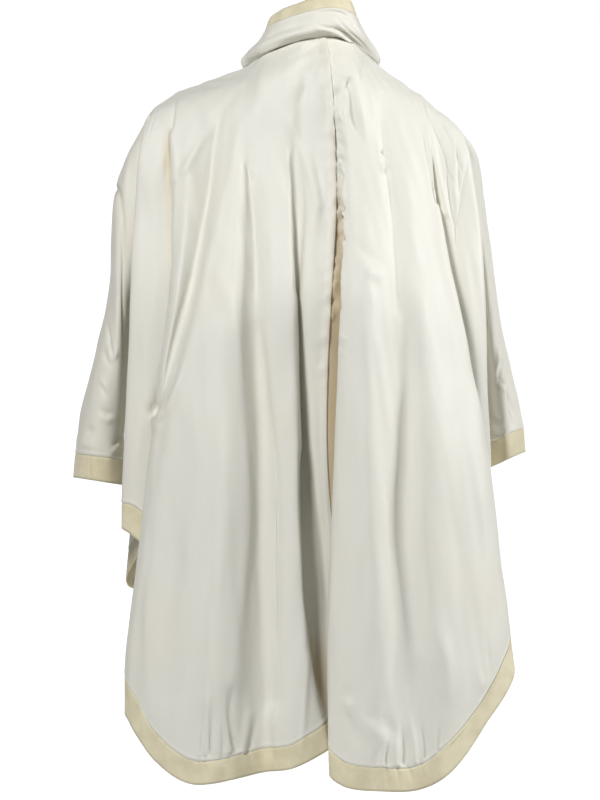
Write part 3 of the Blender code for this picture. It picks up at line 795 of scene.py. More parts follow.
as_seen = {
    "back_left": back_left[0],
    "back_right": back_right[0],
    "front_left": front_left[0],
    "front_right": front_right[0],
    "sleeve_left": sleeve_left,
    "sleeve_right": sleeve_right,
    "cuff_left": cuff_left,
    "cuff_right": cuff_right,
    "hood": hood,
    "hood_band": hood_band,
    "hem_back_left": back_left[1],
    "hem_back_right": back_right[1],
    "hem_front_left": front_left[1],
    "hem_front_right": front_right[1],
}
RINGS = {"sleeve_left", "sleeve_right", "cuff_left", "cuff_right"}
true_sheets = {name: true_place(sheet) for name, sheet in as_seen.items()}
print("points in all:", sum(sheet.shape[0] * sheet.shape[1] for sheet in as_seen.values()))

# %% [markdown]
# ## Directions that neighbours share
#
# Creases and rolled seams push points straight out of the cloth. Where two pieces meet, both
# must push a point the same way and by the same amount, or the seam would open. So points in
# one place are found first, and whatever is worked out for them is shared.

# %% Shared points and outward directions
PLACES_PER_MM = 1000


class SharedPoints:
    """Finds the points of different sheets that lie in one place, and averages values there."""

    def __init__(self, sheets):
        self.sheets = sheets
        places = np.concatenate([sheet.reshape(-1, 3) for sheet in sheets.values()])
        keys = np.round(places * PLACES_PER_MM).astype(np.int64)
        found = np.unique(keys, axis=0, return_inverse=True)
        self.place_of = found[1].reshape(-1)
        self.count = len(found[0])

    def averaged(self, values):
        """The same values with each place's mean, for values kept by sheet."""
        flat = np.concatenate(
            [values[name].reshape(-1, values[name].shape[-1]) for name in self.sheets]
        )
        sums = np.zeros((self.count, flat.shape[1]))
        np.add.at(sums, self.place_of, flat)
        hits = np.bincount(self.place_of, minlength=self.count)[:, None]
        means = (sums / hits)[self.place_of]
        result, start = {}, 0
        for name, sheet in self.sheets.items():
            size = sheet.shape[0] * sheet.shape[1]
            result[name] = means[start : start + size].reshape(*sheet.shape[:2], -1)
            start += size
        return result


def face_normal_sums(sheet, ring):
    """The sum of the normals of the faces round each point, larger faces counting for more."""
    across = sheet[1:, 1:] - sheet[:-1, :-1]
    against = sheet[1:, :-1] - sheet[:-1, 1:]
    faces = np.cross(against, across)
    total = np.zeros(sheet.shape)
    for rows in (slice(1, None), slice(None, -1)):
        for columns in (slice(1, None), slice(None, -1)):
            total[rows, columns] += faces
    if ring:
        total[:, 0] = total[:, -1] = total[:, 0] + total[:, -1]
    return total


shared = SharedPoints(true_sheets)
sums = {name: face_normal_sums(sheet, name in RINGS) for name, sheet in true_sheets.items()}
outward = {name: unit(total) for name, total in shared.averaged(sums).items()}
print("different places:", shared.count)

# %% [markdown]
# ## Creases
#
# Crisp satin holds small sharp creases: fine lines that fan over the right shoulder, pinches
# where a fold is caught, and pulls in the cloth where the band gathers it. Each one is placed
# along a few points. It is a soft trough or ridge whose height changes from its start to
# its end, so a pinch is deep at one end and dies away at the other.

# %% How a crease is pressed in
Crease = namedtuple("Crease", "name path heights width")
REACH_IN_WIDTHS = 4.0


def crease_rows(text):
    """Creases from rows of text: name, points as x,z | heights at start, middle and end | width;"""
    creases = []
    for row in text.split(";")[:-1]:
        line, heights, width = row.split("|")
        name, *points = line.split()
        path = tuple(tuple(float(value) for value in point.split(",")) for point in points)
        heights = tuple(float(height) for height in heights.split())
        creases.append(Crease(name, path, heights, float(width)))
    return tuple(creases)


def crease_heights(seen, creases):
    """How far all the creases together move each point outwards, in millimetres."""
    points = seen.reshape(-1, 3)[:, [0, 2]]
    moved = np.zeros(len(points))
    for crease in creases:
        knots = np.array([(x, 0, z) for x, z in crease.path], float)
        line = spline(knots, [6] * (len(knots) - 1))[:, [0, 2]]
        along = np.append(0.0, np.cumsum(np.linalg.norm(np.diff(line, axis=0), axis=1)))
        reach = REACH_IN_WIDTHS * crease.width
        low, high = line.min(axis=0) - reach, line.max(axis=0) + reach
        near = np.flatnonzero(((points > low) & (points < high)).all(axis=1))
        best = np.full(len(near), np.inf)
        where = np.zeros(len(near))
        for start, end, at, until in zip(line[:-1], line[1:], along[:-1], along[1:]):
            part = end - start
            share = np.clip((points[near] - start) @ part / max(part @ part, 1e-9), 0, 1)
            distance = np.linalg.norm(points[near] - start - share[:, None] * part, axis=1)
            closer = distance < best
            best[closer] = distance[closer]
            where[closer] = (at + share * (until - at))[closer]
        height = np.interp(where / along[-1], (0, 0.5, 1), crease.heights)
        moved[near] += height / np.cosh(best / crease.width) ** 2
    return moved.reshape(seen.shape[:2])


print("a crease reaches", REACH_IN_WIDTHS, "times its width")

# %% [markdown]
# ## Creases of the left back
#
# The left half has the deepest pull, a notch beside the arm that a long valley runs into. Rows of
# text keep so many creases readable, and a loop turns them into values.

# %% Creases of the left back
BACK_LEFT_CREASES = crease_rows("""
lap_top_line -174,-52 -177,-70 -179,-88 | -0.6 -2 -2.8 | 1.6;
shoulder_line_one -204,-68 -209,-79 -214,-95 | -0.6 -1.8 -0.6 | 1.4;
shoulder_line_two -197,-61 -204,-78 -209,-97 | -0.4 -1.6 -0.4 | 1.4;
shoulder_line_three -184,-115 -186,-133 -186,-156 | -0.2 -1.6 -0.2 | 1.8;
notch_ridge -173,-155 -161,-138 -148,-115 -128,-87 -106,-61 | 4 2.6 0.4 | 4.8;
notch_pinch -175,-159 -166,-150 -156,-145 | -3.2 -2 -0.2 | 2.4;
lap_lip -178,-92 -175,-128 -174,-179 -178,-243 | 1.6 2.4 0.6 | 3.8;
valley_one_line -99,-38 -115,-69 -123,-97 -128,-131
    -133,-174 -143,-225 -155,-284 | -0.4 -4 -1.6 | 4.3;
crest_beside_valley_one -88,-77 -100,-123 -110,-164 -124,-220
    -140,-294 -156,-365 -175,-429 -192,-453 | 0.5 2.7 2.4 | 6.6;
valley_one_lower -154,-279 -164,-315 -174,-353 -186,-402
    -197,-442 -202,-456 | -1.2 -3.2 -4.8 | 4.3;
notch_crest -204,-458 -195,-456 -184,-448 -174,-428 -161,-389 | 5.2 3.6 0.6 | 3.8;
notch_floor -205,-449 -197,-440 -187,-425 | -4.8 -2.8 -0.4 | 3.3;
notch_shelf -201,-465 -191,-471 -177,-474 | 2.8 1 0 | 4.8;
pinch_two -88,-131 -81,-142 -79,-156 | -0.6 -3.2 -0.8 | 2.4;
pinch_two_crest -81,-140 -74,-145 -69,-142 | 0.8 2.4 0.2 | 2.4;
valley_two_top -84,-115 -83,-151 -78,-179 -73,-225 -70,-294 | -0.4 -2.8 -1.8 | 4.8;
valley_two_edge -72,-346 -69,-415 -64,-463 -59,-553
    -55,-640 -52,-704 -55,-794 -59,-838 | -0.7 -2.4 -0.3 | 5.7;
crest_between -64,-115 -56,-179 -51,-256 -46,-346 | 0.3 1.7 0.2 | 7.6;
valley_three_top -29,-110 -23,-141 -20,-177 -19,-230 -20,-294 | -1.2 -4 -2 | 4.8;
valley_three_side -37,-118 -33,-154 -31,-198 | -0.4 -2 -0.2 | 4.8;
bright_streak -38,-69 -19,-100 -8,-129 4,-164 9,-187 | 0.5 3.2 2 | 5.7;
streak_hollow -1,-102 4,-134 10,-166 14,-197 | -0.4 -2.6 -1.8 | 4.3;
streak_foot 9,-187 5,-207 3,-236 | 1.7 1.2 0 | 5.7;
neck_fan_one 12,22 -12,9 -40,-5 | -1.4 -1.6 -0.2 | 3.8;
neck_fan_two 13,6 -13,-10 -44,-31 | -1 -1.8 -0.2 | 4.8;
neck_fan_three 15,-15 -8,-38 -28,-67 | -0.7 -1.4 -0.2 | 5.7;
neck_fan_four -54,-3 -72,-20 -84,-41 | -0.7 -1.4 -0.2 | 5.7;
lap_edge_pinch 9,-399 14,-394 20,-393 | 0.4 3.2 1.2 | 2;
lap_edge_pinch_two 12,-410 17,-406 22,-406 | -0.2 -2.6 -2 | 2;
lap_edge_pinch_three 13,-417 17,-413 20,-412 | 0.4 2.4 0.8 | 1.6;
broad_left_hollow -182,-525 -187,-614 -188,-717 -179,-806 | -0.3 -2.7 -0.3 | 19;
broad_left_swell -154,-525 -161,-640 -166,-742 | 0.2 1.7 0.2 | 13.3;
crest_lower_side -102,-525 -97,-640 -95,-742 -102,-827 | -0.2 -1.9 -0.7 | 8.5;
hem_pucker_one -142,-881 -141,-865 -138,-840 | -2.6 -1.8 -0.2 | 3.3;
hem_pucker_two -128,-886 -129,-865 -129,-827 -131,-783 | -4 -3.2 -0.2 | 3.3;
hem_pucker_three -114,-884 -115,-868 -109,-840 | -3 -2 -0.2 | 2.4;
hem_pucker_four -97,-884 -101,-868 -105,-829 -97,-788 | -4.2 -3.2 -0.2 | 3.3;
hem_pucker_five -81,-884 -76,-865 -69,-837 | -3.8 -3.2 -0.2 | 3.3;
hem_crest_one -136,-882 -134,-855 -134,-812 | 2.4 2.4 0.2 | 3.3;
hem_crest_two -120,-884 -120,-860 -119,-819 | 2.8 2.4 0.2 | 3.3;
hem_crest_three -106,-884 -109,-865 -113,-829 | 3 2.6 0.2 | 3.3;
hem_crest_four -88,-884 -84,-860 -79,-824 | 3.2 3 0.2 | 3.8;
shade_turn -4,-762 -8,-813 -12,-876 | 1.6 2.4 1.6 | 3.8;
band_mark_one -145,-892 -146,-904 -146,-916 | -2 -1.4 -0.2 | 1.4;
band_mark_two -136,-891 -136,-904 -134,-919 | -2.4 -1.6 -0.2 | 1.4;
band_mark_three -125,-891 -125,-904 -127,-916 | -2.4 -1.6 -0.2 | 1.4;
band_mark_four -115,-890 -114,-901 -113,-911 | -2.4 -1.6 -0.2 | 1.4;
band_mark_five -104,-888 -104,-900 -102,-911 | -2.2 -1.6 -0.2 | 1.4;
band_mark_six -91,-887 -90,-899 -88,-909 | -2 -1.4 -0.2 | 1.4;
band_mark_seven -79,-886 -78,-896 -78,-906 | -1.6 -1.2 -0.2 | 1.4;
wide_crest -127,-346 -120,-435 -115,-507 -119,-599 -128,-704 -131,-819 | 1 5.8 4.1 | 15.2;
wide_flank -156,-486 -169,-563 -179,-640 -187,-717 -188,-806 | -0.8 -5.8 -3.4 | 19;
wide_valley -70,-346 -63,-397 -58,-448 -52,-507
    -50,-599 -49,-717 -51,-819 | -2.5 -12.9 -8.5 | 12.8;
wedge_hollow -10,-512 -4,-576 3,-653 9,-730 14,-806 17,-847 | -2.5 -14.4 -0.8 | 9.5;
wide_swell -102,-346 -95,-397 -90,-448 -87,-507 -87,-599 -93,-691 -100,-794 | 2.5 9.5 4.8 | 13;
""")
print("left back creases:", len(BACK_LEFT_CREASES))

# %% [markdown]
# ## The right back
#
# Here fine lines fan out below the shoulder and small puckers sit along the seam. Broad swells
# and hollows, ten millimetres wide and more, shade the lower part.

# %% Creases of the right back
BACK_RIGHT_CREASES = crease_rows("""
seam_pucker_hook 31,-68 37,-67 41,-73 | -2 -3.2 -0.6 | 1.8;
seam_pucker_two 31,-78 36,-74 40,-81 | 1.2 2.4 0.2 | 1.8;
seam_pucker_three 31,-141 36,-143 42,-154 | -2.4 -2.6 -0.2 | 2;
seam_pucker_four 31,-151 36,-152 40,-161 | 1.8 2.2 0.2 | 1.8;
seam_pucker_five 31,-164 35,-169 38,-179 | -2.6 -2.4 -0.2 | 1.8;
seam_pucker_six 31,-186 37,-187 45,-191 | -3.2 -3.2 -0.6 | 2.2;
seam_pucker_seven 31,-200 36,-196 44,-197 | 2.4 2.8 0.4 | 2.1;
shoulder_dent 47,-29 40,-36 32,-44 | -3.6 -2.4 -0.2 | 3.3;
dent_valley 47,-29 51,-49 54,-69 61,-95 72,-113 | -2.7 -3.4 -0.3 | 5.2;
dent_crest 58,-41 63,-64 69,-90 | 1 2.2 0.2 | 5.7;
crest_by_seam 37,-49 42,-87 49,-138 52,-189 56,-230 | 0.5 2.9 1.4 | 5.7;
valley_four_top 90,-59 90,-87 92,-115 96,-141 | -1.6 -3.2 -3.6 | 4.3;
valley_four_pinch 92,-116 96,-119 99,-125 | -3.6 -2.8 -0.4 | 2.2;
pinch_light 87,-131 92,-140 95,-146 | 0.8 3.6 0.4 | 2.4;
valley_four_line 97,-143 101,-177 105,-220 108,-259 111,-320 | -3.2 -3.2 -1.6 | 4.8;
valley_four_lower 110,-371 116,-433 115,-499 111,-589 118,-678 123,-727 | -0.5 -2.4 -0.3 | 7.6;
puff_crease 56,-230 67,-246 77,-253 87,-259 | -1 -2.5 -1.4 | 5.7;
puff 64,-259 73,-269 82,-274 | 1.4 4.4 3.7 | 7.6;
puff_foot 69,-282 77,-302 82,-333 | 1 1.5 0.2 | 7.6;
edge_pinch 35,-362 40,-365 46,-364 | -1.2 -3.6 -0.8 | 2;
edge_pinch_light 36,-356 41,-358 45,-360 | 1.2 2.8 0.4 | 2;
edge_pinch_low 37,-371 42,-371 46,-370 | 0.8 2.8 0.2 | 2.1;
shoulder_line_one 128,-40 137,-60 142,-78 148,-115 155,-151 161,-182 | -2 -3.6 -3.6 | 2.1;
shoulder_crest_one 138,-46 147,-76 155,-110 163,-151 172,-197 | 1.6 3.8 3.2 | 4.3;
shoulder_line_two 146,-60 159,-91 172,-125 180,-155 | -1.6 -3.4 -1.2 | 1.5;
shoulder_line_three 161,-67 169,-84 177,-104 | -0.8 -2.4 -0.6 | 1.4;
shoulder_line_four 184,-102 187,-122 193,-146 | -0.8 -2.6 -0.4 | 1.4;
shoulder_line_five 172,-131 178,-187 184,-219 184,-238 | -1.2 -2.6 -1.4 | 1.5;
shoulder_line_six 200,-124 193,-170 184,-219 | -0.6 -2.6 -2 | 1.5;
shoulder_line_seven 186,-122 188,-151 188,-173 | -0.8 -2.2 -0.6 | 1.4;
shoulder_line_eight 178,-77 192,-100 201,-109 | -0.8 -2.6 -1 | 1.5;
shoulder_crest_two 172,-77 183,-104 191,-128 | 0.4 2 0.2 | 3.8;
shoulder_crest_three 179,-141 184,-179 187,-207 | 0.4 1.8 0.4 | 3.3;
neck_fan_one 27,13 41,8 58,-3 | -1.4 -1.6 -0.2 | 3.3;
neck_fan_two 28,-3 45,-3 59,-10 | -1.4 -1.8 -0.2 | 3.3;
neck_fan_three 29,-17 44,-18 56,-15 | 1.2 1.6 0.2 | 3.3;
neck_fan_four 67,-5 64,-28 67,-49 | -0.8 -1.8 -0.2 | 4.8;
lobe_pinch 40,-819 46,-823 51,-829 | 1.6 4.4 2.4 | 3;
lobe_pinch_dark 40,-812 49,-812 59,-806 | -3.2 -2.4 -0.2 | 3.3;
lobe_crest 49,-828 63,-847 86,-864 106,-883 | 3.4 3.1 0.7 | 5.7;
lobe_hollow 44,-840 54,-863 72,-881 | -1.4 -2.5 -0.5 | 6.6;
lobe_hollow_two 77,-840 97,-850 115,-873 | -0.8 -2.2 -0.5 | 5.7;
hem_pucker_one 82,-902 84,-891 93,-873 | -3.2 -2.6 -0.2 | 2.2;
hem_pucker_two 97,-901 97,-883 101,-865 | -4 -3 -0.2 | 2.4;
hem_pucker_three 119,-900 120,-884 115,-852 | -3.8 -2.8 -0.2 | 3;
hem_pucker_four 147,-892 146,-877 140,-850 | -3.4 -2.4 -0.2 | 2.4;
hem_pucker_five 163,-883 164,-868 166,-847 | -2.8 -2 -0.2 | 2.4;
hem_crest_one 90,-902 92,-886 100,-872 | 2.4 2.4 0.2 | 2.4;
hem_crest_two 108,-901 108,-881 110,-847 | 3 2.6 0.2 | 3.3;
hem_crest_three 132,-897 131,-876 125,-840 | 2.6 2.4 0.2 | 3.8;
side_line 225,-735 227,-762 228,-788 | -0.6 -2.6 -1.2 | 2.4;
side_spot 215,-788 218,-799 215,-806 | 0.6 2.8 0.8 | 3.3;
lower_light 143,-691 156,-730 177,-773 192,-819 | 0.3 2.5 0.2 | 11.4;
flank_hollow 164,-307 179,-410 192,-525 202,-640 | -0.2 -2 -0.2 | 13.3;
band_mark_one 72,-906 72,-916 70,-929 | -1.6 -1.2 -0.2 | 1.4;
band_mark_two 84,-906 83,-918 82,-931 | -2.2 -1.6 -0.2 | 1.4;
band_mark_three 97,-906 97,-918 97,-932 | -2.4 -1.6 -0.2 | 1.4;
band_mark_four 110,-905 111,-918 113,-931 | -2.2 -1.6 -0.2 | 1.4;
band_mark_five 124,-902 127,-915 129,-928 | -2.2 -1.6 -0.2 | 1.4;
band_mark_six 140,-897 143,-910 147,-922 | -2 -1.4 -0.2 | 1.4;
wide_crest_one 69,-346 73,-435 76,-525 81,-614 90,-717 92,-806 | 0.8 5.1 2.4 | 13.3;
wide_valley_one 115,-307 123,-410 124,-486 120,-589 125,-678 131,-742 | -1 -6.8 -2.7 | 10.4;
wide_crest_two 132,-410 138,-512 143,-589 151,-666 164,-755 173,-806 | 0.8 4.4 1.7 | 13.3;
wide_flank 179,-474 183,-563 192,-666 200,-755 | -0.7 -3.7 -1 | 15.2;
wide_edge 207,-435 215,-525 223,-614 228,-691 | 0.5 3.1 0.5 | 9.5;
""")
print("right back creases:", len(BACK_RIGHT_CREASES))

# %% [markdown]
# ## The sleeves
#
# A sleeve has one long valley down its back and short pulls across it. The cuff uses the same
# rows, so that a pull doesn't stop at the seam.

# %% Creases of the sleeves
SLEEVE_LEFT_CREASES = crease_rows("""
kink -257,-161 -250,-165 -244,-177 | -2.4 -3.6 -1.2 | 2.1;
long_valley -250,-166 -244,-186 -243,-230 -241,-307
    -239,-384 -241,-461 -243,-494 | -1.6 -4.4 -2 | 3;
long_crest -256,-179 -252,-230 -250,-307 -248,-384 -250,-448 | 0.6 2.6 0.6 | 4.8;
pull_one -261,-335 -260,-356 -255,-375 | -0.8 -3.2 -1.6 | 1.6;
pull_one_light -251,-369 -251,-379 -256,-384 | 1 3.4 0.4 | 2;
pull_two -266,-374 -261,-387 -253,-392 | -2 -2.6 -0.2 | 1.9;
pull_three -268,-415 -266,-425 -261,-433 | -1.6 -2.8 -0.2 | 1.9;
pull_three_light -271,-407 -265,-417 -259,-424 | 0.8 2.6 0.2 | 2.1;
bracket -270,-448 -262,-452 -252,-451 | -2.6 -3.6 -0.8 | 1.8;
bracket_light -271,-458 -261,-461 -251,-458 | 1.2 3.2 0.4 | 2.4;
edge_puff -243,-481 -248,-488 -255,-495 | -3.4 -3 -0.2 | 2.2;
edge_puff_light -246,-492 -252,-498 -257,-504 | 1.6 3 0.4 | 2.4;
dimple -291,-471 -283,-475 -275,-475 | -0.2 -2.6 -0.4 | 3.8;
puff_low -300,-486 -287,-492 -274,-495 | 0.8 2.4 0.6 | 4.8;
upper_soft -243,-102 -248,-141 | -0.6 -1.8 -0.4 | 3.8;
upper_light -228,-100 -236,-138 -241,-192 | 0.4 2.2 0.4 | 4.3;
cuff_seam -284,-508 -285,-522 -284,-535 | -2.6 -2.6 -2.6 | 1.1;
""")
SLEEVE_RIGHT_CREASES = crease_rows("""
outer_line_one 200,-109 207,-133 214,-161 216,-184
    219,-216 221,-269 223,-346 | -1 -3.2 -1.6 | 1.8;
outer_line_two 218,-166 223,-220 228,-266 | -0.8 -2.6 -0.4 | 1.6;
long_crest 212,-125 223,-198 229,-294 233,-371 | 0.4 2.2 0.6 | 4.3;
pull_one 242,-353 244,-379 239,-407 | -1 -3.4 -1 | 1.8;
pull_one_light 238,-365 239,-384 234,-404 | 0.6 2.8 0.4 | 2.4;
pull_two 237,-415 242,-412 248,-416 | -1.8 -3.2 -1 | 1.8;
pull_two_light 237,-424 243,-421 250,-425 | 1 2.6 0.4 | 2.1;
seam_pull 250,-387 251,-415 252,-443 257,-466 | -1.2 -3.2 -0.8 | 1.6;
seam_pull_two 253,-433 257,-445 262,-458 | -1 -2.6 -0.2 | 1.6;
low_fold 229,-452 236,-458 243,-458 | -2.4 -3.2 -0.4 | 2.2;
low_fold_light 229,-461 237,-467 246,-467 | 1.4 2.6 0.4 | 3;
low_fold_two 230,-476 239,-479 248,-475 | -1.6 -2.4 -0.2 | 2.4;
cuff_puff 233,-486 243,-484 253,-480 | 1 2.4 0.6 | 2.4;
""")
print("sleeve creases:", len(SLEEVE_LEFT_CREASES), "and", len(SLEEVE_RIGHT_CREASES))

# %% [markdown]
# ## The hood
#
# The lowered hood is gathered round the neck, so its creases run slantwise and close together.

# %% Creases of the hood
HOOD_CREASES = crease_rows("""
deep_valley 8,46 20,42 33,40 44,33 56,23 72,8 | -0.6 -6 -2 | 1.9;
bright_ridge 5,40 23,37 40,31 58,17 74,5 | 0.8 5.2 2.4 | 2.1;
second_valley 31,55 36,49 49,37 61,26 73,12 | -0.4 -4.4 -1.2 | 1.6;
second_ridge 26,51 38,42 51,31 64,18 | 0.4 3.2 0.8 | 1.8;
third_valley 36,61 45,55 58,41 64,29 | -0.4 -3.4 -0.6 | 1.5;
thin_line 6,61 28,63 44,58 52,51 | -0.4 -2.2 -0.4 | 1.4;
left_soft -64,26 -46,36 -20,44 3,46 | -0.4 -2.2 -0.4 | 3.8;
left_lip -79,3 -64,10 -41,20 -15,28 | 0.6 2.8 0.6 | 2.4;
left_soft_two -74,18 -61,28 -46,35 | -0.4 -2.2 -0.2 | 2.4;
left_swell -56,15 -28,31 -3,35 | 0.2 2.2 0.4 | 4.8;
""")
print("hood creases:", len(HOOD_CREASES))

# %% [markdown]
# ## Creases on the hidden front
#
# The front gets creases of the same kinds: lines that fan from the shoulder, a few long soft
# troughs, and pulls above its hem. They are made for one side and mirrored with some change, so
# that the two fronts don't match like a pattern.

# %% Creases of the fronts
FRONT_CREASES = crease_rows("""
shoulder_fan_one 176,-78 170,-130 166,-190 | -1.5 -2.4 -0.3 | 2.2;
shoulder_fan_two 160,-62 158,-110 160,-170 | -0.8 -2.2 -0.5 | 2.4;
shoulder_crest 150,-54 146,-110 142,-190 | 0.7 2.4 0.3 | 5;
neck_fan_one 92,-20 98,-60 108,-110 | -1.4 -2 -0.3 | 4;
neck_fan_two 70,-44 78,-90 84,-150 | -1 -2 -0.2 | 5;
neck_fan_three 46,-58 50,-110 48,-170 | 0.8 2.2 0.2 | 6;
long_trough_one 118,-170 120,-290 124,-430 | -0.5 -3.1 -0.7 | 7;
long_trough_two 72,-260 70,-400 76,-560 | -0.3 -2.7 -0.3 | 9;
long_crest_one 96,-210 100,-360 104,-520 | 0.3 2.5 0.3 | 8;
pinch 150,-300 158,-308 168,-306 | -3.1 -2.4 -0.3 | 3.2;
pinch_light 150,-312 158,-320 170,-322 | 2.7 1.7 0.2 | 4;
centre_pull_one 3,-180 16,-190 30,-214 | -2.2 -1.5 -0.2 | 3;
centre_pull_two 3,-330 14,-336 28,-352 | -2 -1.5 -0.2 | 3;
hem_pull_one 62,-660 64,-640 60,-606 | -2.9 -2.2 -0.2 | 3.4;
hem_pull_two 84,-660 84,-636 88,-600 | -3.1 -2.4 -0.2 | 3.4;
hem_pull_three 122,-658 126,-636 124,-612 | -2.5 -1.9 -0.2 | 3.2;
hem_crest_one 73,-660 74,-636 76,-596 | 2.4 2 0.2 | 4;
hem_crest_two 102,-660 104,-634 106,-600 | 2 1.9 0.2 | 4;
side_trough 182,-260 186,-400 192,-540 | -0.3 -2.7 -0.5 | 6;
""")
MIRRORED_HIGHER = 14.0
MIRRORED_WIDER = 1.2


def mirrored(crease):
    """The same crease on the left front, shifted and widened so that the fronts differ."""
    path = tuple((-x, z + MIRRORED_HIGHER) for x, z in crease.path)
    return crease._replace(path=path, width=crease.width * MIRRORED_WIDER)


CREASES = {
    "back_left": BACK_LEFT_CREASES,
    "back_right": BACK_RIGHT_CREASES,
    "sleeve_left": SLEEVE_LEFT_CREASES,
    "sleeve_right": SLEEVE_RIGHT_CREASES,
    "cuff_left": SLEEVE_LEFT_CREASES,
    "cuff_right": SLEEVE_RIGHT_CREASES,
    "hood": HOOD_CREASES,
    "hood_band": HOOD_CREASES,
    "front_right": FRONT_CREASES,
    "front_left": [mirrored(crease) for crease in FRONT_CREASES],
}
print("creases in all:", sum(len(rows) for rows in CREASES.values()))

# %% [markdown]
# ## Puckers beside the centre seam
#
# A topstitched seam draws the cloth in, and short ripples stand square to it. There are dozens,
# each a little different, so a loop makes them from a seeded generator: the script gives the
# same cape each time it runs. They are stronger on the right half, whose cloth lies under.

# %% Make the puckers
Puckers = namedtuple("Puckers", "side top bottom pitch length height width")
CENTRE_PUCKERS = {
    "back_left": Puckers(-1, 10.0, -400.0, 9.0, 11.0, 0.9, 3.0),
    "back_right": Puckers(1, -40.0, -330.0, 7.5, 12.0, 3.0, 3.2),
}
PUCKER_SEED = 4
centre_edge = as_seen["back_right"][:, 0]


def puckers(kind, random):
    """Short creases that start on the centre seam and run down and away from it."""
    rows = []
    z = kind.top
    while z > kind.bottom:
        x = np.interp(-z, -centre_edge[:, 2], centre_edge[:, 0])
        reach = kind.length * random.uniform(0.5, 1.5)
        drop = reach * random.uniform(0.1, 0.9)
        height = kind.height * random.uniform(0.5, 1.4) * random.choice((-1, 1))
        path = (
            (x, z), (x + kind.side * reach / 2, z - drop / 3), (x + kind.side * reach, z - drop)
        )
        rows.append(
            Crease("pucker", path, (height, height, 0), kind.width * random.uniform(0.8, 1.3))
        )
        z -= kind.pitch * random.uniform(0.6, 1.5)
    return rows


generator = np.random.default_rng(PUCKER_SEED)
for half, kind in CENTRE_PUCKERS.items():
    made = puckers(kind, generator)
    CREASES[half] = (*CREASES[half], *made)
    print(half, "puckers:", len(made))

# %% [markdown]
# ## The cloth is never quite flat
#
# Between the named creases the satin still undulates a little. A few long waves of different
# directions and lengths, added together, give that without looking regular. They depend on the
# place alone, so they run on across the seams.

# %% Soft unevenness
WAVES = 14
WAVE_SEED = 11
WAVE_HEIGHT = 0.34
ACROSS_WAVES = (16.0, 52.0)
DOWN_WAVES = (70.0, 300.0)
wave_random = np.random.default_rng(WAVE_SEED)
wave_lengths = np.exp(wave_random.uniform(np.log(ACROSS_WAVES[0]), np.log(ACROSS_WAVES[1]), WAVES))
wave_falls = wave_random.uniform(*DOWN_WAVES, WAVES) * wave_random.choice((-1, 1), WAVES)
wave_angles = wave_random.uniform(0, pi, WAVES)
wave_starts = wave_random.uniform(0, 2 * pi, WAVES)


def unevenness(points):
    """The height of the soft waves at each point, in millimetres."""
    total = np.zeros(points.shape[:-1])
    for length, fall, angle, start in zip(wave_lengths, wave_falls, wave_angles, wave_starts):
        across = points[..., 0] * np.cos(angle) + points[..., 1] * np.sin(angle)
        total += length * np.sin(2 * pi * (across / length + points[..., 2] / fall) + start)
    return WAVE_HEIGHT * total / wave_lengths.mean() / np.sqrt(WAVES / 2)


print("waves:", WAVES, "of", wave_lengths.round().astype(int).tolist(), "mm")

# %% [markdown]
# ## Seams
#
# A seam is a narrow groove. Where the satin meets the khaki band, its edge is also rolled: it
# swells for a few millimetres before it dives into the seam, and catches the light there.

# %% Grooves and rolled edges
Groove = namedtuple("Groove", "depth width roll roll_at roll_width")
PLAIN = Groove(0.7, 2.2, 0.0, 1.0, 1.0)
ROLLED = Groove(0.9, 1.2, 0.5, 3.6, 2.0)
TUCKED = Groove(0.7, 1.4, 0.0, 1.0, 1.0)
LAPPED = Groove(0.2, 1.0, 0.0, 1.0, 1.0)
NECK = Groove(0.1, 1.0, 0.0, 3.0, 2.0)
Edges = namedtuple("Edges", "top bottom first last")
SEAMS = {
    "back_left": Edges(PLAIN, ROLLED, PLAIN, LAPPED),
    "back_right": Edges(PLAIN, ROLLED, LAPPED, PLAIN),
    "front_left": Edges(PLAIN, ROLLED, PLAIN, PLAIN),
    "front_right": Edges(PLAIN, ROLLED, PLAIN, PLAIN),
    "sleeve_left": Edges(PLAIN, ROLLED, None, None),
    "sleeve_right": Edges(PLAIN, ROLLED, None, None),
    "cuff_left": Edges(TUCKED, None, None, None),
    "cuff_right": Edges(TUCKED, None, None, None),
    "hood": Edges(ROLLED, NECK, PLAIN, PLAIN),
    "hood_band": Edges(None, TUCKED, None, None),
    "hem_back_left": Edges(TUCKED, None, PLAIN, None),
    "hem_back_right": Edges(TUCKED, None, None, PLAIN),
    "hem_front_left": Edges(TUCKED, None, PLAIN, PLAIN),
    "hem_front_right": Edges(TUCKED, None, PLAIN, PLAIN),
}


def groove_heights(distance, groove):
    dip = -groove.depth * np.exp(-((distance / groove.width) ** 2))
    roll = groove.roll * np.exp(-(((distance - groove.roll_at) / groove.roll_width) ** 2))
    return dip + roll


def seam_heights(sheet, edges):
    """How far a piece's seams move each of its points outwards."""
    down = np.linalg.norm(np.diff(sheet, axis=0), axis=2).cumsum(axis=0)
    down = np.vstack([np.zeros((1, sheet.shape[1])), down])
    along = np.linalg.norm(np.diff(sheet, axis=1), axis=2).cumsum(axis=1)
    along = np.hstack([np.zeros((sheet.shape[0], 1)), along])
    distances = Edges(down, down[-1:] - down, along, along[:, -1:] - along)
    moved = np.zeros(sheet.shape[:2])
    for distance, groove in zip(distances, edges):
        if groove:
            moved += groove_heights(distance, groove)
    return moved


print("seams on the back:", sum(bool(edge) for edge in SEAMS["back_left"]))

# %% [markdown]
# ## Press everything into the sheets
#
# Creases, waves and seams are added up for each point, shared between neighbours, and applied
# along the outward direction. Then the left half's edge at the centre is lifted: it is folded
# under and lies on top of the right half, and a row of stitches holds it down.

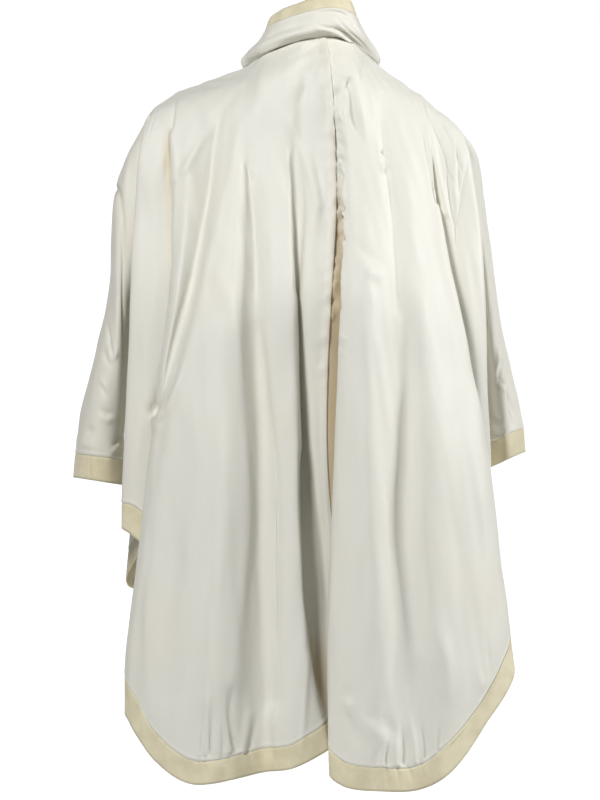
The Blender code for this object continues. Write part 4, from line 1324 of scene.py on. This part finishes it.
# %% Shape the cloth
LAP_HEIGHT = 1.8
LAP_WIDTH = 5.5
LAP_SOFTNESS = 1.2
LAP_OVER = 1.8
STITCH_INSET = 1.4
STITCH_GROOVE = Groove(0.6, 0.9, 0.0, 1.0, 1.0)
BAND_CREASE_SHARE = 0.8
KHAKI = {"cuff_left", "cuff_right", "hood_band"} | {
    name for name in as_seen if name.startswith("hem")
}

moves = {}
for name, seen in as_seen.items():
    creases = CREASES[name.removeprefix("hem_")]
    share = BAND_CREASE_SHARE if name in KHAKI else 1.0
    total = share * crease_heights(seen, creases)
    total += share * unevenness(true_sheets[name])
    total += seam_heights(true_sheets[name], SEAMS[name])
    moves[name] = total[..., None]
moves = shared.averaged(moves)
lap_shares = {}
for name in ("back_left", "hem_back_left"):
    sheet = true_sheets[name]
    inward = np.linalg.norm(np.diff(sheet, axis=1), axis=2)[:, ::-1].cumsum(axis=1)
    inward = np.hstack([np.zeros((len(sheet), 1)), inward])[:, ::-1]
    lap_shares[name] = 0.5 * (1 - np.tanh((inward - LAP_WIDTH) / LAP_SOFTNESS))
    lift = LAP_HEIGHT * lap_shares[name] + groove_heights(inward - STITCH_INSET, STITCH_GROOVE)
    moves[name] += lift[..., None]
shaped = {name: sheet + outward[name] * moves[name] for name, sheet in true_sheets.items()}
for name in ("back_left", "hem_back_left"):
    across = unit(true_sheets[name][:, -1] - true_sheets[name][:, -4])[:, None]
    shaped[name] += LAP_OVER * across * lap_shares[name][..., None]
print("largest move:", round(max(float(np.abs(move).max()) for move in moves.values()), 1), "mm")

# %% [markdown]
# ## Painted shade and tints
#
# Below the topstitching the right half folds back at the centre. The recess of that pleat is
# painted a darker tan as shade, and so are the lap's recess on the left half and a thin line
# along its lapped edge. The foot of the pleat on the left half gets a tan tint, and the sleeves
# and the hood a slight warm one. Each point gets a number from 0 to 1 that says how tan it is,
# and the paint reads it.

# %% Mark the painted shade and the tints
LIGHT_TAN = {"sleeve_left": 0.09, "sleeve_right": 0.05, "hood": 0.02}
# Painted shade in the pleat beside the centre seam: its columns, heights and shares
PLEAT_SHADE_ACROSS = (2.2, 2.9)
PLEAT_SHADE_HEIGHTS = (-700.0, -600.0, -300.0, -210.0, -140.0)
PLEAT_SHADE_SHARES = (0.0, 1.0, 1.0, 0.7, 0.0)
FOOT_TAN_HEIGHTS = (-850.0, -820.0, -775.0, -730.0)
FOOT_TAN_SHARES = (0.0, 0.6, 0.6, 0.0)
FOOT_TAN_COLUMNS = 3.0
# Painted shade in the lap's recess on the left half: its heights, shares and columns
LAP_SHADE_HEIGHTS = (-420.0, -250.0, -110.0, -85.0)
LAP_SHADE_SHARES = (0.0, 0.65, 0.6, 0.0)
LAP_SHADE_COLUMNS = (45, 52, 68, 72)
# A painted shadow line along the lapped edge: its heights, shares and width in columns
EDGE_SHADE_HEIGHTS = (-560.0, -420.0, -110.0, -60.0)
EDGE_SHADE_SHARES = (0.0, 0.7, 0.6, 0.0)
EDGE_SHADE_COLUMNS = 2.0


def tint_and_painted_shade(node):
    """How tan each point of a piece is, 0 to 1: painted shade in recesses, a tint elsewhere."""
    seen = as_seen[node]
    tan = np.full(seen.shape[:2], LIGHT_TAN.get(node, 0.0))
    column = np.arange(seen.shape[1])
    # Painted shade: the pleat's recess beside the centre seam turns tan
    if node == "back_right":
        across = np.interp(column / FINER_ACROSS[1], PLEAT_SHADE_ACROSS, (1.0, 0.0))
        tan = across * np.interp(seen[..., 2], PLEAT_SHADE_HEIGHTS, PLEAT_SHADE_SHARES)
    if node == "back_left":
        from_centre = (seen.shape[1] - 1 - column) / FINER_ACROSS[-1]
        across = np.interp(from_centre, (FOOT_TAN_COLUMNS, FOOT_TAN_COLUMNS + 1), (1.0, 0.0))
        tan = across * np.interp(seen[..., 2], FOOT_TAN_HEIGHTS, FOOT_TAN_SHARES)
        # Painted shadow: a thin tan line along the lapped edge
        across = np.maximum(0.0, 1 - from_centre * FINER_ACROSS[-1] / EDGE_SHADE_COLUMNS)
        tan += across * np.interp(seen[..., 2], EDGE_SHADE_HEIGHTS, EDGE_SHADE_SHARES)
        # Painted shade: the lap's recess on the left half turns tan
        across = np.interp(column, LAP_SHADE_COLUMNS, (0.0, 1.0, 1.0, 0.0))
        tan += across * np.interp(seen[..., 2], LAP_SHADE_HEIGHTS, LAP_SHADE_SHARES)
    return tan


print("tan points:", int((tint_and_painted_shade("back_right") > 0.5).sum()))

# %% [markdown]
# ## Shader arithmetic
#
# Materials are built from nodes. Written one by one they are hard to read, so a small class lets
# nodes be added and multiplied like numbers, and one method makes any other node.

# %% A small class for node arithmetic
class Wire:
    """A node's output that can be used in sums."""

    def __init__(self, paint, socket):
        self.paint = paint
        self.socket = socket

    def sum_with(self, operation, first, second):
        return self.paint.node("ShaderNodeMath", {"operation": operation}, {0: first, 1: second})

    def __add__(self, other):
        return self.sum_with("ADD", self, other)

    __radd__ = __add__

    def __sub__(self, other):
        return self.sum_with("SUBTRACT", self, other)

    def __rsub__(self, other):
        return self.sum_with("SUBTRACT", other, self)

    def __mul__(self, other):
        return self.sum_with("MULTIPLY", self, other)

    __rmul__ = __mul__

    def sine(self):
        return self.paint.node("ShaderNodeMath", {"operation": "SINE"}, {0: self})

    def smooth_step(self, low, high):
        """0 below low and 1 above high, with a soft rise between them."""
        settings = {"interpolation_type": "SMOOTHSTEP"}
        return self.paint.node("ShaderNodeMapRange", settings, {0: self, 1: low, 2: high})


print("a wire can be added, subtracted and multiplied")

# %% A material and its nodes
class Paint:
    """A material and the nodes in it."""

    def __init__(self, name):
        self.material = bpy.data.materials.new(name)
        self.material.use_nodes = True
        self.tree = self.material.node_tree
        self.shader = self.tree.nodes["Principled BSDF"]

    def node(self, kind, settings, inputs, output=0):
        """Any node: its settings are set first, then its inputs get values or links."""
        made = self.tree.nodes.new(kind)
        for key, value in settings.items():
            setattr(made, key, value)
        for key, value in inputs.items():
            self.plug(made.inputs[key], value)
        return Wire(self, made.outputs[output])

    def plug(self, socket, value):
        if isinstance(value, Wire):
            self.tree.links.new(value.socket, socket)
        else:
            socket.default_value = value

    def set(self, **values):
        """Sets the surface's own sockets. An underscore in a name stands for a space."""
        for key, value in values.items():
            self.plug(self.shader.inputs[key.replace("_", " ")], value)

    def mixed(self, factor, first, second):
        settings = {"data_type": "RGBA"}
        return self.node("ShaderNodeMix", settings, {0: factor, 6: first, 7: second}, output=2)


print("node arithmetic is ready")

# %% [markdown]
# ## Satin
#
# The cape's cloth is a crisp pale satin. Seen close it has a fine weave; seen from a step away
# it is smooth with a soft sheen. The weave follows the cloth through its own map, in metres.
# Old cloth also has slight warm tints and a faint rubbed mark, which stay in place on the cape.

# %% Paint the satin
SATIN = (0.76, 0.74, 0.66, 1.0)
SATIN_WARM = (0.765, 0.735, 0.635, 1.0)
SATIN_DARK = (0.735, 0.713, 0.63, 1.0)
# Tan mixed in as painted shade in the back's recesses, and as a warm tint on a few pieces
TAN_FOR_SHADE_AND_TINT = (0.64, 0.525, 0.345, 1.0)
STAIN = (0.45, 0.42, 0.36, 1.0)
THREAD_PITCH = 0.0007
WEAVE_DEPTH = 0.00005
GRAIN_DEPTH = 0.00022
GRAIN_SCALE = 620.0
FLECK_SCALE = 480.0
TINT_SCALE = 7.0
STAIN_SEEN_AT = (-184.0, -480.0)
STAIN_SIZE = 0.008
STAIN_CORE = 0.4
STAIN_STRENGTH = 0.45
STAIN_BREAK_SCALE = 260.0
STAIN_BREAK = (0.5, 0.6)
TINT_RANGE = (0.48, 0.78)
FLECK_RANGE = (0.35, 0.7)
FLECK_STRENGTH = 0.5
stain_offsets = as_seen["back_left"][..., [0, 2]] - STAIN_SEEN_AT
stain_point = np.linalg.norm(stain_offsets, axis=2).argmin()
STAIN_AT = tuple(shaped["back_left"].reshape(-1, 3)[stain_point] * MM)


def paint_satin():
    paint = Paint("satin")
    cloth_map = paint.node("ShaderNodeUVMap", {"uv_map": "cloth"}, {})
    parts = paint.node("ShaderNodeSeparateXYZ", {}, {0: cloth_map}).socket.node
    across, down = Wire(paint, parts.outputs[0]), Wire(paint, parts.outputs[1])
    threads = (across * (2 * pi / THREAD_PITCH)).sine() * (down * (2 * pi / THREAD_PITCH)).sine()
    place = paint.node("ShaderNodeTexCoord", {}, {}, output=3)
    grain = paint.node(
        "ShaderNodeTexNoise", {}, {"Vector": place, "Scale": GRAIN_SCALE, "Detail": 3.0}
    )
    tint = paint.node(
        "ShaderNodeTexNoise", {}, {"Vector": place, "Scale": TINT_SCALE, "Detail": 3.0}
    )
    distance = paint.node(
        "ShaderNodeVectorMath", {"operation": "DISTANCE"}, {0: place, 1: STAIN_AT}, output=1
    )
    broken = paint.node(
        "ShaderNodeTexNoise", {}, {"Vector": place, "Scale": STAIN_BREAK_SCALE, "Detail": 3.0}
    )
    inside = 1 - distance.smooth_step(STAIN_SIZE * STAIN_CORE, STAIN_SIZE)
    mark = inside * broken.smooth_step(*STAIN_BREAK)
    fleck = paint.node(
        "ShaderNodeTexNoise", {}, {"Vector": place, "Scale": FLECK_SCALE, "Detail": 2.0}
    )
    shade_and_tint_share = paint.node("ShaderNodeAttribute", {"attribute_name": "tint_and_painted_shade"}, {}, output=2)
    colour = paint.mixed(tint.smooth_step(*TINT_RANGE), SATIN, SATIN_WARM)
    colour = paint.mixed(fleck.smooth_step(*FLECK_RANGE) * FLECK_STRENGTH, colour, SATIN_DARK)
    # Painted shade: the tan darkens the pleat's and the lap's recesses and a line along the lapped
    # edge; elsewhere it is a warm tint
    colour = paint.mixed(shade_and_tint_share, colour, TAN_FOR_SHADE_AND_TINT)
    colour = paint.mixed(mark * STAIN_STRENGTH, colour, STAIN)
    weave = paint.node(
        "ShaderNodeBump", {}, {"Height": threads, "Distance": WEAVE_DEPTH, "Strength": 0.5}
    )
    bump = paint.node(
        "ShaderNodeBump", {}, {
            "Height": grain, "Distance": GRAIN_DEPTH, "Strength": 0.45, "Normal": weave
        }
    )
    paint.set(Base_Color=colour, Normal=bump, Roughness=0.44 + 0.1 * grain)
    paint.set(Specular_IOR_Level=0.42, Sheen_Weight=0.12, Sheen_Roughness=0.4)
    return paint.material


satin = paint_satin()
print("satin nodes:", len(satin.node_tree.nodes))

# %% [markdown]
# ## Khaki suede
#
# The bands look like thin brushed suede: matt, with a soft nap that is lighter or darker where
# it has been stroked. Noise of three sizes gives the mottling, and a strong sheen on a
# rough surface gives the velvety edge.

# %% Paint the bands
SUEDE_LIGHT = (0.76, 0.69, 0.49, 1.0)
SUEDE_DARK = (0.66, 0.59, 0.405, 1.0)
NAP_SCALE = 42.0
FIBRE_SCALE = 900.0
FIBRE_DEPTH = 0.0003
BROAD_SCALE = 9.0
NAP_SHARE, BROAD_SHARE, FIBRE_SHARE = 0.55, 0.3, 0.15
STROKE_RANGE = (0.38, 0.62)


def paint_suede():
    paint = Paint("khaki_suede")
    place = paint.node("ShaderNodeTexCoord", {}, {}, output=3)
    nap = paint.node("ShaderNodeTexNoise", {}, {"Vector": place, "Scale": NAP_SCALE, "Detail": 4.0})
    broad = paint.node(
        "ShaderNodeTexNoise", {}, {"Vector": place, "Scale": BROAD_SCALE, "Detail": 2.0}
    )
    fibre = paint.node(
        "ShaderNodeTexNoise", {}, {"Vector": place, "Scale": FIBRE_SCALE, "Detail": 2.0}
    )
    stroke = NAP_SHARE * nap + BROAD_SHARE * broad + FIBRE_SHARE * fibre
    colour = paint.mixed(stroke.smooth_step(*STROKE_RANGE), SUEDE_DARK, SUEDE_LIGHT)
    bump = paint.node(
        "ShaderNodeBump", {}, {"Height": fibre, "Distance": FIBRE_DEPTH, "Strength": 0.6}
    )
    paint.set(Base_Color=colour, Normal=bump, Roughness=0.86 + 0.08 * nap)
    paint.set(Specular_IOR_Level=0.2, Sheen_Weight=0.3, Sheen_Roughness=0.5)
    return paint.material


suede = paint_suede()
print("suede nodes:", len(suede.node_tree.nodes))

# %% [markdown]
# ## Paper and thread
#
# The paper and the sewing thread are plain finishes whose lightness wanders a little, so one
# function paints both.

# %% Paint the paper and the thread
PAPER = (0.75, 0.75, 0.75, 1.0)
THREAD = (0.99, 0.98, 0.93, 1.0)


def paint_plain(name, colour, roughness, variation, scale):
    """A plain finish whose lightness wanders a little."""
    paint = Paint(name)
    place = paint.node("ShaderNodeTexCoord", {}, {}, output=3)
    noise = paint.node("ShaderNodeTexNoise", {}, {"Vector": place, "Scale": scale, "Detail": 2.0})
    darker = tuple(value * (1 - variation) for value in colour[:3]) + (1.0,)
    paint.set(Base_Color=paint.mixed(noise, darker, colour), Roughness=roughness)
    return paint.material


sweep.data.materials.append(paint_plain("paper", PAPER, 0.9, 0.02, 2.0))
thread = paint_plain("thread", THREAD, 0.6, 0.15, 800.0)
print("paper and thread are painted")

# %% [markdown]
# ## Sheets become cloth
#
# Each grid of points becomes a mesh of quads with a map in metres along the cloth. Solidify then
# gives it the thickness of real cloth, inwards from the outer face, and is applied.

# %% Make the pieces
CLOTH_THICKNESS = 0.0009
BAND_THICKNESS = 0.0013


def grid_faces(rows, columns, ring):
    """Corner numbers of the quads of a grid, wound so that they face outwards."""
    wide = columns - 1 if ring else columns
    row = np.arange(rows - 1)[:, None]
    column = np.arange(columns - 1)[None, :]
    beside = (column + 1) % wide if ring else column + 1
    corners = [
        row * wide + column, (row + 1) * wide + column, (row + 1) * wide + beside, row * wide + beside
    ]
    return np.stack(np.broadcast_arrays(*corners), axis=-1).reshape(-1, 4)


def cloth_map(sheet):
    """Lengths along the cloth at each point: across from the middle column, and down."""
    down = np.linalg.norm(np.diff(sheet, axis=0), axis=2).cumsum(axis=0)
    along = np.linalg.norm(np.diff(sheet, axis=1), axis=2).cumsum(axis=1)
    v = np.vstack([np.zeros((1, sheet.shape[1])), down])
    u = np.hstack([np.zeros((sheet.shape[0], 1)), along])
    return np.stack([u - u[:, [u.shape[1] // 2]], -v], axis=-1) * MM


print("thickness:", round(CLOTH_THICKNESS / MM, 1), "and", round(BAND_THICKNESS / MM, 1), "mm")

# %% How one piece is made
def cloth_piece(node, sheet, flat_sheet):
    """One piece of cloth in the place of its solid."""
    ring = node in RINGS
    rows, columns = sheet.shape[:2]
    points = (sheet[:, :-1] if ring else sheet).reshape(-1, 3) * MM
    name = f"{node}_cloth"
    data = bpy.data.meshes.new(name)
    data.from_pydata(points.tolist(), [], grid_faces(rows, columns, ring).tolist())
    corners = grid_faces(rows, columns, False).reshape(-1)
    places = cloth_map(flat_sheet).reshape(-1, 2)[corners]
    data.uv_layers.new(name="cloth").data.foreach_set("uv", places.astype(np.float32).reshape(-1))
    # This number carries the painted shade and the warm tints to the paint
    tan = tint_and_painted_shade(node)[:, :-1] if ring else tint_and_painted_shade(node)
    tan_layer = data.attributes.new(name="tint_and_painted_shade", type="FLOAT", domain="POINT")
    tan_layer.data.foreach_set("value", tan.astype(np.float32).reshape(-1))
    data.shade_smooth()
    data.materials.append(suede if node in KHAKI else satin)
    piece = bpy.data.objects.new(name, data)
    bpy.context.scene.collection.objects.link(piece)
    deselect_all()
    piece.select_set(True)
    bpy.context.view_layer.objects.active = piece
    thicken = piece.modifiers.new("thickness", "SOLIDIFY")
    thicken.thickness = BAND_THICKNESS if node in KHAKI else CLOTH_THICKNESS
    thicken.offset = -1.0
    bpy.ops.object.modifier_apply(modifier=thicken.name)
    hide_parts(node)
    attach(piece, "root")
    "band_cloth" if node in KHAKI else "satin_cloth"
    return piece


def area_of(sheet):
    """The area of a sheet of points, in square metres."""
    across = sheet[1:, 1:] - sheet[:-1, :-1]
    against = sheet[1:, :-1] - sheet[:-1, 1:]
    return float(np.linalg.norm(np.cross(against, across), axis=2).sum() / 2) * MM * MM


print("pieces to make:", len(shaped))

# %% Make all the pieces
pieces = {}
for node, sheet in shaped.items():
    pieces[node] = cloth_piece(node, sheet, true_sheets[node])
    print(node, "faces:", len(pieces[node].data.polygons))

# %% [markdown]
# ## What was cut
#
# Cloth hardly stretches, so the area of each hung sheet is about that of the cloth it was cut
# from, and the areas of all the pieces are added up. A piece's area is less than that of its
# rectangle, where the shoulder and the armhole are cut away.


cut_area = 0
for node, piece in pieces.items():
    area = area_of(shaped[node])
    cut_area += area
print("cloth in all:", round(cut_area, 2), "m2")

# %% [markdown]
# ## The topstitching of the centre seam
#
# The lapped edge is held down by a row of topstitching, with about three stitches to the
# centimetre. Each stitch is a short stretched bead of thread that dips at its ends. One bead is
# made from a low sphere, and it is copied along the seam with each copy turned to follow it.

# %% Make the stitches
STITCH_PITCH = 3.2
STITCH_LENGTH = 1.6
STITCH_WIDTH = 1.7
STITCH_HEIGHT = 1.5
STITCH_TOP = -12.0
STITCH_BOTTOM = -560.0
STITCH_LIFT = 0.7

lap = shaped["back_left"]
directions = outward["back_left"]
edge_distance = np.linalg.norm(lap[:, -2] - lap[:, -1], axis=1)
inset_share = (STITCH_INSET / edge_distance)[:, None]
stitch_line = lap[:, -1] + inset_share * (lap[:, -2] - lap[:, -1])
stitch_out = directions[:, -1]
kept = (stitch_line[:, 2] < STITCH_TOP) & (stitch_line[:, 2] > STITCH_BOTTOM)
stitch_line, stitch_out = stitch_line[kept], stitch_out[kept]
print("stitched length:", round(length_of(stitch_line)), "mm")

# %% One bead of thread
deselect_all()
bpy.ops.mesh.primitive_uv_sphere_add(segments=6, ring_count=4, radius=0.5, location=(0, 0, 0))
bead = bpy.context.object
bead.name = "stitch_bead"
bpy.ops.object.mode_set(mode="EDIT")
bpy.ops.mesh.select_all(action="SELECT")
bpy.ops.transform.resize(
    value=(STITCH_WIDTH, STITCH_HEIGHT, STITCH_LENGTH), center_override=(0, 0, 0)
)
bpy.ops.object.mode_set(mode="OBJECT")
bead_points = np.array([vertex.co for vertex in bead.data.vertices])
bead_faces = [tuple(face.vertices) for face in bead.data.polygons]
print("faces of a bead:", len(bead_faces))

# %% Sew along the lap
starts = np.arange(0, length_of(stitch_line) - STITCH_PITCH, STITCH_PITCH)
places = spread(stitch_line, starts)
ahead = spread(stitch_line, starts + STITCH_PITCH / 2)
rows_along = lengths_along(stitch_line)
points, faces = [], []
for number, (place, next_place) in enumerate(zip(places, ahead)):
    at = number * STITCH_PITCH
    out = unit(np.array([np.interp(at, rows_along, stitch_out[:, axis]) for axis in range(3)]))
    along = unit(next_place - place)
    across = unit(np.cross(along, out))
    frame_of_bead = np.array([across, np.cross(across, along) * -1, along])
    faces.extend(tuple(corner + len(points) for corner in face) for face in bead_faces)
    points.extend((next_place + out * STITCH_LIFT + bead_points @ frame_of_bead).tolist())
bpy.data.objects.remove(bead)
data = bpy.data.meshes.new("centre_topstitch")
data.from_pydata((np.array(points) * MM).tolist(), [], faces)
data.shade_smooth()
data.materials.append(thread)
stitches = bpy.data.objects.new("centre_topstitch", data)
bpy.context.scene.collection.objects.link(stitches)
deselect_all()
stitches.select_set(True)
bpy.context.view_layer.objects.active = stitches
bpy.ops.object.mode_set(mode="EDIT")
bpy.ops.mesh.select_all(action="SELECT")
bpy.ops.mesh.normals_make_consistent(inside=False)
bpy.ops.object.mode_set(mode="OBJECT")
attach(stitches, "root")
print("stitches:", len(places), "with", len(faces), "faces")

# %% [markdown]
# ## The size of solids and cloth
#
# The dressed cape has to stay the size of its solids. Both boxes are kept and printed side by
# side.

# %% Keep both boxes
visual_box = [list(corner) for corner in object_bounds()]
for name, box in (("solids", CAD_BOX), ("cloth", visual_box)):
    print(name, [round((high - low) / MM, 1) for low, high in zip(*box)], "mm")
